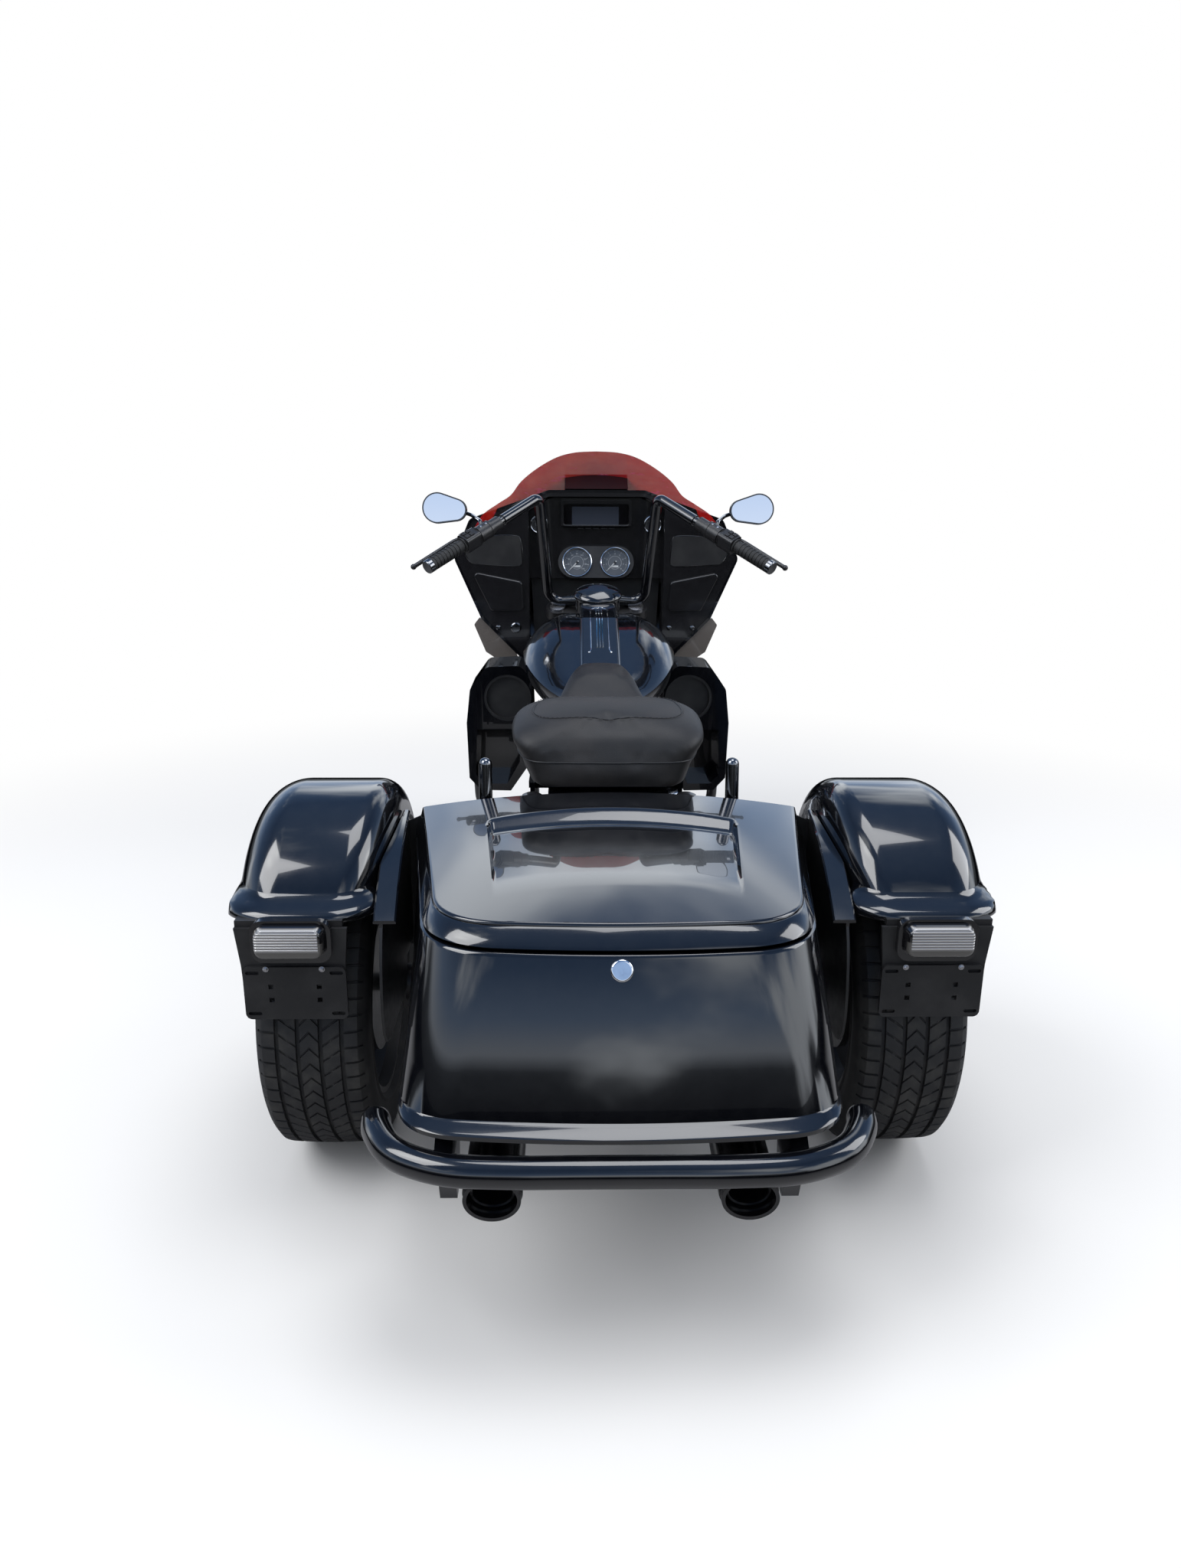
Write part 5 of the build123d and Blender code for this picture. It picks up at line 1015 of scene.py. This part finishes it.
def lip_row(height, flare):
    """The fender's plan outline at a height, pushed out by the flare round its rear and outer side."""
    cy, cz = FENDER_CENTRE
    outline = []
    for inner in (True, False):
        radius = CROWN_IN if inner else CROWN_OUT
        side = []
        for k in range(13):
            depth = radius * (1 - k / 12) ** 2
            y = cy - sqrt(max((FENDER_RADIUS - depth) ** 2 - (height - cz) ** 2, 0.0))
            reach = crown_reach(depth, radius)
            side.append(Vector((fender_inner_x(y) + reach if inner else FENDER_OUTER - reach, y, height)))
        outline += side if inner else side[::-1]
    pushed = []
    for i, point in enumerate(outline):
        run = outline[min(i + 1, len(outline) - 1)] - outline[max(i - 1, 0)]
        away = Vector((run.y, -run.x, 0)).normalized()
        fade = min(1.0, max(0.0, (LIP_START - point.y) / LIP_FADE))
        moved = point + away * flare * (fade if flare > 0 else 1)
        pushed.append(Vector((min(moved.x, LIP_REACH), moved.y, height)))
    return pushed


LIP_REACH = 0.6995
LIP_START, LIP_FADE = -0.80, 0.075
# Columns: height, how far the lip stands out there
LIP_ROWS = ((0.6420, 0.0002), (0.6365, 0.0014), (0.6325, 0.0056), (0.6295, 0.0125), (0.6265, 0.0205),
            (0.6235, 0.0270), (0.6195, 0.0312), (0.6145, 0.0328), (0.6085, 0.0318), (0.6035, 0.0275),
            (0.6003, 0.0205), (0.6003, 0.0060), (0.6030, -0.0050), (0.6180, -0.0062), (0.6400, -0.0062))


def rear_fenders():
    skins = Heap()
    rows = [fender_layer(row, 0.0) + fender_layer(row, FENDER_WALL)[::-1] for row in fender_profile()]
    skins.both(flat(rows), [face[::-1] for face in capped(len(rows), len(rows[0]))])
    lip = [lip_row(height, flare) for height, flare in LIP_ROWS]
    skins.both(flat(lip), wrapped(len(lip), len(lip[0])))
    skins.done("rear_fender_skins", paint, "chassis", stands_for=["rear_fenders"], finish="gloss_black", sharp=42)


rear_fenders()


# Trunk and lid: rings in plan at each height, and the lid's arched top with its scoop

TRUNK_FRONT = -0.600
TRUNK_BOW = 0.026
FRONT_STEPS, CORNER_STEPS, REAR_STEPS = 10, 16, 20
# Columns: height, half width at the front, half width at the rear, rear end, corner length
TRUNK_RINGS = (
    (0.4020, 0.388, 0.338, -1.300, 0.086), (0.4045, 0.398, 0.347, -1.326, 0.092),
    (0.4080, 0.401, 0.350, -1.331, 0.094), (0.4150, 0.401, 0.350, -1.331, 0.094),
    (0.4185, 0.400, 0.349, -1.326, 0.094), (0.4210, 0.400, 0.3485, -1.306, 0.090),
    (0.4240, 0.401, 0.3485, -1.3005, 0.088), (0.4900, 0.401, 0.3400, -1.282, 0.092),
    (0.5600, 0.401, 0.3300, -1.257, 0.098), (0.6200, 0.401, 0.3200, -1.229, 0.106),
    (0.6560, 0.401, 0.3145, -1.2110, 0.110), (0.6605, 0.4005, 0.3135, -1.2085, 0.110),
    (0.6620, 0.398, 0.3115, -1.2060, 0.109), (0.6620, 0.394, 0.3075, -1.2020, 0.107),
    (0.6400, 0.394, 0.3080, -1.2080, 0.106), (0.4400, 0.394, 0.3400, -1.2850, 0.090),
)
LID_RINGS = (
    (0.6900, 0.380, 0.2920, -1.1760, 0.100), (0.6676, 0.394, 0.3065, -1.2000, 0.108),
    (0.6673, 0.397, 0.3100, -1.2040, 0.109), (0.6690, 0.3985, 0.3112, -1.2050, 0.109),
    (0.6735, 0.3975, 0.3100, -1.2020, 0.108), (0.6920, 0.3885, 0.2990, -1.1810, 0.100),
)
LID_PLAN = (0.386, 0.2965, -1.1770, 0.099)
LID_SPINE = (-0.665, -1.03)
LID_ROUND, LID_THICK, LID_RIM = 0.006, 0.030, 0.6930
LID_ROWS = 110
MERGE_REACH = 0.0001
# Columns: y, height in the middle, height at the sides
LID_CROWN = ((-0.59, 0.7395, 0.7025), (-0.90, 0.7265, 0.6953), (-1.23, 0.6945, 0.6925))
LID_HALF, CROWN_TAPER, CROWN_RUN = 0.42, 0.06, 0.64
# Scoop: its floor and the floor's fall, its front and the front's bow, its rails, the walls' slopes and bend
SCOOP_FLOOR, SCOOP_FALL = 0.7172, 0.036
SCOOP_FRONT, SCOOP_BOW, SCOOP_HALF = -0.700, 0.032, 0.247
# The rails' distance from the middle where the lid's half width is RAIL_LID; the lid narrows by LID_TAPER
SCOOP_RAIL, RAIL_LID, LID_TAPER = 0.2445, 0.3665, 0.1624
FRONT_SLOPE, RAIL_SLOPE, WALL_BEND = 0.5, 1.9, 0.024
FLOOR_SOFT, RIM_SOFT = 0.004, 0.003


def trunk_ring(half_front, half_rear, rear, corner, along=130):
    """The outline in plan: a straight front, sides that close in, rounded corners and a bowed rear."""
    front, back = Vector((half_front, TRUNK_FRONT)), Vector((half_rear, rear + TRUNK_BOW))
    start = back + (front - back).normalized() * corner

    def bowed(x):
        return Vector((x, rear + TRUNK_BOW * (x / half_rear) ** 2))

    end = bowed(half_rear - corner)
    half = [Vector((half_front * k / FRONT_STEPS, TRUNK_FRONT)) for k in range(FRONT_STEPS)]
    half += [front.lerp(start, k / along) for k in range(along)]
    for k in range(CORNER_STEPS):
        share = k / CORNER_STEPS
        half.append(start.lerp(back, share).lerp(back.lerp(end, share), share))
    half += [bowed((half_rear - corner) * (1 - k / REAR_STEPS)) for k in range(REAR_STEPS + 1)]
    return half + [Vector((-point.x, point.y)) for point in half[-2:0:-1]]


def raised(ring, height):
    return [Vector((point.x, point.y, height)) for point in ring]


def spine_of(point):
    """The nearest place on the lid's spine."""
    return Vector((0, min(max(point.y, LID_SPINE[1]), LID_SPINE[0])))


def toward_spine(ring, share):
    """The ring drawn in towards the lid's spine by a share of the way."""
    return [point.lerp(spine_of(point), share) for point in ring]


def joined_rows(heap, rows):
    """Rings that follow each other, with no caps."""
    heap.put(flat(rows), wrapped(len(rows), len(rows[0]), round_rows=False, round_columns=True))


def merged(made):
    """Closes doubled points of a finished piece."""
    shape = bmesh.new()
    shape.from_mesh(made.data)
    bmesh.ops.remove_doubles(shape, verts=shape.verts, dist=MERGE_REACH)
    bmesh.ops.recalc_face_normals(shape, faces=shape.faces)
    shape.to_mesh(made.data)
    shape.free()
    made.data.shade_smooth()
    made.data.set_sharp_from_angle(angle=radians(34))


def blended_low(a, b, width):
    """The lower of two heights with a rounded change."""
    share = min(1.0, max(0.0, 0.5 + 0.5 * (b - a) / width))
    return b + (a - b) * share - width * share * (1 - share)


def through(rows, y):
    """A smooth curve through three (y, value) pairs."""
    total = 0.0
    for i, (at, value) in enumerate(rows):
        weight = 1.0
        for k, (other, _) in enumerate(rows):
            if k != i:
                weight *= (y - other) / (at - other)
        total += weight * value
    return total


def lid_crown(x, y):
    middle = through([(row[0], row[1]) for row in LID_CROWN], y)
    edge = through([(row[0], row[2]) for row in LID_CROWN], y)
    half = LID_HALF - CROWN_TAPER * (LID_CROWN[0][0] - y) / CROWN_RUN
    return middle - (middle - edge) * (x / half) ** 2


def lid_top(x, y):
    """The lid's top: its crown, and the scoop with a sloped front wall between two rails."""
    crown = lid_crown(x, y)
    floor = SCOOP_FLOOR - SCOOP_FALL * (x / LID_HALF) ** 2
    rail = SCOOP_RAIL * (LID_PLAN[0] + LID_TAPER * (y - TRUNK_FRONT)) / RAIL_LID
    down = (SCOOP_FRONT - SCOOP_BOW * (x / SCOOP_HALF) ** 2 - y) * FRONT_SLOPE
    beside = (rail - abs(x)) * RAIL_SLOPE
    deep = min(down, beside)
    if down < WALL_BEND and beside < WALL_BEND:
        deep = WALL_BEND - sqrt((WALL_BEND - down) ** 2 + (WALL_BEND - beside) ** 2)
    inside = -blended_low(-floor, -(crown - deep), FLOOR_SOFT)
    return blended_low(crown, inside, RIM_SOFT)


def trunk_skins():
    body = Heap()
    rings = [raised(trunk_ring(*row[1:], along=26), row[0]) for row in TRUNK_RINGS]
    pan, well = (trunk_ring(*row[1:], along=26) for row in (TRUNK_RINGS[0], TRUNK_RINGS[-1]))
    under = [raised(toward_spine(pan, share), z) for share, z in ((1.0, 0.390), (0.05, 0.390), (0.0, 0.392))]
    floor = [raised(toward_spine(well, share), 0.434) for share in (0.02, 1.0)]
    joined_rows(body, under + rings + floor)
    merged(body.done("trunk_shell", paint, "chassis", stands_for=["trunk_body"], finish="gloss_black"))
    lid = Heap()
    plan = trunk_ring(*LID_PLAN)
    below = [[Vector((x, y, lid_crown(x, y) - LID_THICK)) for x, y in toward_spine(plan, share)]
             for share in (1.0, 0.75, 0.5, 0.25, 0.04)]
    rings = [raised(trunk_ring(*row[1:]), row[0]) for row in LID_RINGS]
    edge = [[Vector((x, y, max(LID_RIM, lid_crown(x, y) - LID_ROUND))) for x, y in plan]]
    for inset in (0.0006, 0.0018, 0.0036, LID_ROUND):
        row = []
        for point in plan:
            x, y = point + (spine_of(point) - point).normalized() * inset
            drop = LID_ROUND - sqrt(LID_ROUND ** 2 - (LID_ROUND - inset) ** 2)
            row.append(Vector((x, y, lid_crown(x, y) - drop)))
        edge.append(row)
    shares = [0.0175 + (1 - 0.0175) * k / LID_ROWS for k in range(1, LID_ROWS + 1)]
    top = [[Vector((x, y, lid_top(x, y))) for x, y in toward_spine(plan, share)] for share in shares]
    joined_rows(lid, below + rings + edge + top)
    merged(lid.done("trunk_lid_skin", paint, "trunk_lid", stands_for=["trunk_lid"], finish="gloss_black"))


trunk_skins()


# Painted strips between the trunk and the fenders

# The strips' front end, their length, their edges in front, how far those close in, and their thickness
STRIP_FRONT, STRIP_LENGTH, STRIP_STEPS = -0.601, 0.351, 28
STRIP_INNER, STRIP_OUTER, STRIP_TAPER, STRIP_THICK = 0.411, 0.452, 0.020, 0.006


def strip_height(y):
    return through(((-0.60, 0.702), (-0.80, 0.671), (-0.952, 0.608)), y)


def side_strips():
    strips = Heap()
    rows = []
    for k in range(STRIP_STEPS + 1):
        y = STRIP_FRONT - STRIP_LENGTH * k / STRIP_STEPS
        top = strip_height(y)
        inner = STRIP_INNER - STRIP_TAPER * k / STRIP_STEPS
        outer = min(fender_inner_x(y) - 0.0015, STRIP_OUTER - STRIP_TAPER * k / STRIP_STEPS)
        if y < -0.86:
            outer = min(outer, 0.437)
        rows.append([Vector(point) for point in (
            (inner, y, top - 0.003), (inner + 0.003, y, top), (outer - 0.003, y, top), (outer, y, top - 0.003),
            (outer, y, top - STRIP_THICK), (0.4205, y, top - 0.0065), (0.4205, y, top - 0.014),
            (0.4145, y, top - 0.014), (0.4145, y, top - 0.0065), (inner, y, top - STRIP_THICK))])
    strips.both(flat(rows), capped(len(rows), len(rows[0])))
    strips.done("side_strips", paint, "chassis", stands_for=["side_decks"], finish="gloss_black")


side_strips()


# Windshield: a tinted sheet bent across, its upper edge as seen from behind

SCREEN_EDGE = ((-0.3765, 1.190), (-0.351, 1.228), (-0.306, 1.259), (-0.268, 1.284), (-0.236, 1.324), (-0.187, 1.363),
               (-0.125, 1.397), (-0.066, 1.412), (0.0, 1.4155))
SCREEN_BASE, SCREEN_THICK, SCREEN_ROWS = 1.188, 0.004, 15
# How far its sides bend back at SCREEN_HALF, then its foot's y and height, and its rake's run and rise
SCREEN_BEND, SCREEN_HALF = 0.268, 0.4
SCREEN_FOOT, SCREEN_LOW, RAKE_RUN, RAKE_RISE = 1.03, 1.18, 0.62, 0.78


def windshield():
    half = smooth_path([(x, 0, z) for x, z in SCREEN_EDGE], 6)
    edge = half + mirrored(half[-2::-1])
    rows = []
    for layer in (0.0, -SCREEN_THICK):
        for k in range(SCREEN_ROWS):
            row = []
            for point in edge:
                height = SCREEN_BASE + (point.z - SCREEN_BASE) * k / (SCREEN_ROWS - 1)
                bend = -SCREEN_BEND * (point.x / SCREEN_HALF) ** 2 + layer
                climb = (height - SCREEN_LOW - RAKE_RUN * bend) / RAKE_RISE
                row.append(Vector((point.x, SCREEN_FOOT + RAKE_RISE * bend - RAKE_RUN * climb, height)))
            rows.append(row)
    rows = rows[:SCREEN_ROWS] + rows[:SCREEN_ROWS - 1:-1]
    glass = Heap()
    glass.put(flat(rows), wrapped(len(rows), len(edge)))
    merged(glass.done("windshield_glass", red_glass, "chassis", stands_for=["windshield"], finish="screen_red"))


windshield()


# Rear bumper: one bent tube with rounded ends, on two stays

BUMPER_BENDS = ((-0.396, -1.204, 0.366), (-0.388, -1.232, 0.366), (-0.364, -1.274, 0.364), (-0.325, -1.304, 0.363),
                (-0.262, -1.3275, 0.363), (-0.18, -1.3345, 0.363), (-0.06, -1.3345, 0.363))
BUMPER_RADIUS, BUMPER_CAP, CAP_STEPS = 0.025, 0.022, 5
STAY_OUTLINE = ((-1.262, 0.400), (-1.180, 0.400), (-1.196, 0.300), (-1.232, 0.254), (-1.250, 0.254), (-1.266, 0.300),
                (-1.312, 0.345), (-1.312, 0.366))


def bumper():
    half = [Vector(point) for point in BUMPER_BENDS]
    route = smooth_path(half + mirrored(half[::-1]), 7)
    tube = Heap()
    caps = []
    for start, after in ((route[0], route[1]), (route[-1], route[-2])):
        away = (start - after).normalized()
        turns = [pi / 2 * k / CAP_STEPS for k in range(1, CAP_STEPS + 1)]
        caps.append([(start + away * BUMPER_CAP * sin(turn), BUMPER_RADIUS * cos(turn) + 0.0004) for turn in turns])
    rings = caps[0][::-1] + [(point, BUMPER_RADIUS) for point in route] + caps[1]
    tube.strand([point for point, _ in rings], [radius for _, radius in rings], 28)
    for side in (-1, 1):
        tube.slab([(side * 0.262, y, z) for y, z in STAY_OUTLINE], (side * 0.028, 0, 0))
    tube.done("bumper_tube", paint, "chassis", stands_for=["rear_bumper"], finish="gloss_black")


bumper()


# Lamp brackets and dark closing panels

BRACKET_REACH = 0.676


def lamp_brackets():
    """The lamp and plate brackets, their upper outer corners drawn in under the fender lips."""
    shape = cad["plate_brackets"].data
    brackets = Heap()
    brackets.put([(max(-BRACKET_REACH, min(BRACKET_REACH, corner.co.x)), corner.co.y, corner.co.z)
                  for corner in shape.vertices], [tuple(face.vertices) for face in shape.polygons])
    merged(brackets.done("lamp_brackets", plastic, "chassis", stands_for=["plate_brackets"], finish="black_plastic"))


lamp_brackets()


def lower_dash():
    """The dark panel below the instruments, behind the fork."""
    dash = Heap()
    dash.slab([(-0.200, 0.902, 0.790), (0.200, 0.902, 0.790), (0.211, 0.902, 1.020), (-0.211, 0.902, 1.020)],
              (0, 0.008, 0))
    dash.done("lower_dash", plastic, "chassis", finish="black_plastic")


lower_dash()


def wheel_well_panels():
    """The dark panels in front of each wheel arch and below the painted strip."""
    panels = Heap()
    upper = [(y, strip_height(y) - 0.010) for y in (-0.602, -0.70, -0.80, -0.88, -0.950)]
    liner = upper + [(-0.964, 0.57), (-0.976, 0.53), (-0.984, 0.48), (-0.984, 0.43), (-0.976, 0.395), (-0.958, 0.37),
                     (-0.93, 0.36), (-0.72, 0.36), (-0.70, 0.42), (-0.602, 0.42)]
    for side in (-1, 1):
        panels.slab([(side * x, -0.5995, z) for x, z in ((0.386, 0.400), (0.4255, 0.400), (0.4255, 0.672),
                                                        (0.386, 0.690))], (0, 0.004, 0))
        panels.slab([(side * 0.415, y, z) for y, z in liner], (side * 0.005, 0, 0))
    panels.done("wheel_well_panels", plastic, "chassis", finish="black_plastic")


wheel_well_panels()


# Fasteners and small hardware

def bolt(heap, place, way, radius, tall):
    """A hexagon head on a washer, its base at the place."""
    heap.turned(place, way, [(0, radius * 1.35), (radius * 0.18, radius * 1.35)], 20)
    heap.turned(Vector(place) + Vector(way).normalized() * radius * 0.18, way,
                [(0, radius), (tall * 0.85, radius), (tall, radius * 0.82)], 6)


def hardware():
    chassis_bolts, feet, outlet = Heap(), Heap(), Heap()
    for side in (-1, 1):
        for x, z in ((0.648, 0.585), (0.498, 0.585)):
            bolt(chassis_bolts, (side * x, -0.9582, z), (0, -1, 0), 0.0045, 0.004)
        for x in (0.523, 0.623):
            bolt(chassis_bolts, (side * x, -0.9722, 0.524), (0, -1, 0), 0.004, 0.0035)
        feet.turned((side * 0.16, -0.583, 0.706), (0, 0, 1),
                    [(0, 0.020), (0.016, 0.022), (0.022, 0.0205), (0.026, 0.012)], 28)
    feet.turned((0, -0.583, 0.706), (0, 0, 1), [(0, 0.013), (0.012, 0.014), (0.018, 0.010)], 20)
    outlet.turned((-0.257, 0.7718, 0.871), (0, -1, 0),
                  [(0, 0.017), (0.005, 0.017), (0.007, 0.0135), (0.0035, 0.0125)], 28)
    for x in (-0.314, 0.235, 0.31):
        outlet.turned((x, 0.7718, 0.871), (0, -1, 0), [(0, 0.008), (0.003, 0.008), (0.004, 0.006)], 18)
    chassis_bolts.done("bracket_bolts", alloy, "chassis", finish="steel")
    feet.done("seat_feet", sleek, "chassis", finish="black_plastic")
    outlet.done("panel_outlet", dark_bright, "chassis", finish="chrome")


hardware()


# Floor, light and camera

FLOOR_SIZE = 60
# Between these distances the floor fades to white
FADE_START, FADE_END = 1.7, 3.7
AIM = Vector((0, 0, 0.6))


def studio_floor():
    bpy.ops.mesh.primitive_plane_add(size=FLOOR_SIZE, location=(0, 0, 0))
    floor = bpy.context.active_object
    floor.name = "floor"
    look = Look("pale_floor", (0.8, 0.8, 0.8), 0.75, specular=0.0)
    x, y, _ = look.parts(look.place())
    far = (x * x + y * y).math("SQRT").clamped(FADE_START, FADE_END)
    near = look.blend(look.ray("Is Glossy Ray"), (0.82, 0.82, 0.82), (0.3, 0.3, 0.31))
    white_far = look.blend(far * look.ray("Is Camera Ray"), (0.0, 0.0, 0.0), (1.0, 1.0, 1.0))
    floor.data.materials.append(look.set({
        "Roughness": 0.7 + look.noise(3.0) * 0.1, "Base Color": look.blend(far, near, (0.0, 0.0, 0.0)),
        "Emission Color": white_far, "Emission Strength": 1.0}))


def soft_box(name, place, size, power):
    """A large square soft lamp aimed at the middle of the machine."""
    lamp = bpy.data.lights.new(name, "AREA")
    lamp.shape = "SQUARE"
    lamp.size = size
    lamp.energy = power
    holder = bpy.data.objects.new(name, lamp)
    bpy.context.scene.collection.objects.link(holder)
    holder.location = place
    holder.rotation_euler = (AIM - Vector(place)).to_track_quat("-Z", "Y").to_euler()


# Columns: height of the direction, then the colour that the paint reflects there
SKY_STOPS = ((0.0, (0.03, 0.032, 0.034)), (0.09, (0.05, 0.055, 0.06)), (0.16, (0.42, 0.46, 0.52)),
             (0.3, (0.2, 0.28, 0.42)), (0.48, (0.075, 0.13, 0.24)), (0.75, (0.045, 0.085, 0.17)),
             (1.0, (0.1, 0.16, 0.28)))
SKY_LIFT = (2.2, 2.2, 2.2)


def studio_world():
    """White to the camera, even to soft light, and a deep blue dome in the paint."""
    world = bpy.data.worlds.new("soft_studio")
    bpy.context.scene.world = world
    world.use_nodes = True
    sky = Graph(world.node_tree)
    toward = sky.node("TexCoord", {}, {}, "Generated")
    dome = sky.node("ValToRGB", {"stops": SKY_STOPS}, {"Fac": sky.parts(toward)[2]})
    clouds = sky.node("TexNoise", {}, {"Scale": 1.7, "Detail": 4.0, "Vector": toward}).clamped(0.52, 0.68)
    cloudy = sky.blend(clouds, dome, (0.75, 0.8, 0.86))
    lifted = sky.node("VectorMath", {"operation": "MULTIPLY"}, {0: cloudy, 1: SKY_LIFT})
    around = sky.blend(sky.ray("Is Glossy Ray"), (0.62, 0.64, 0.68), lifted)
    background = sky.tree.nodes["Background"]
    sky.feed(background.inputs["Color"], sky.blend(sky.ray("Is Camera Ray"), around, (1, 1, 1)))
    sky.feed(background.inputs["Strength"], 1.0)


CAMERA_PLACE = Vector((-0.077, -2.754, 1.403))
CAMERA_YAW = radians(1.005)
CAMERA_PITCH = radians(16.7)
CAMERA_ROLL = radians(-0.267)
CAMERA_LENS = 25.137


def camera():
    """The camera at the photograph's place and angle."""
    eye = bpy.data.cameras.new("camera")
    eye.lens = CAMERA_LENS
    eye.sensor_width = 36
    eye.clip_end = 200
    holder = bpy.data.objects.new("camera", eye)
    bpy.context.scene.collection.objects.link(holder)
    ahead = Vector((sin(CAMERA_YAW) * cos(CAMERA_PITCH), cos(CAMERA_YAW) * cos(CAMERA_PITCH), -sin(CAMERA_PITCH)))
    right = Vector((cos(CAMERA_YAW), -sin(CAMERA_YAW), 0))
    up = right.cross(ahead)
    rolled_right = cos(CAMERA_ROLL) * right - sin(CAMERA_ROLL) * up
    rolled_up = sin(CAMERA_ROLL) * right + cos(CAMERA_ROLL) * up
    turn = Matrix((rolled_right, rolled_up, -ahead)).transposed()
    holder.matrix_world = Matrix.Translation(CAMERA_PLACE) @ turn.to_4x4()
    bpy.context.scene.camera = holder


studio_floor()
studio_world()
soft_box("key", (-3.4, -2.2, 4.4), 3.0, 150)
soft_box("fill", (4.2, -0.6, 3.2), 2.4, 70)
soft_box("overhead", (0.4, -0.6, 5.6), 2.6, 90)
camera()

bpy.context.scene.view_settings.view_transform = "Standard"
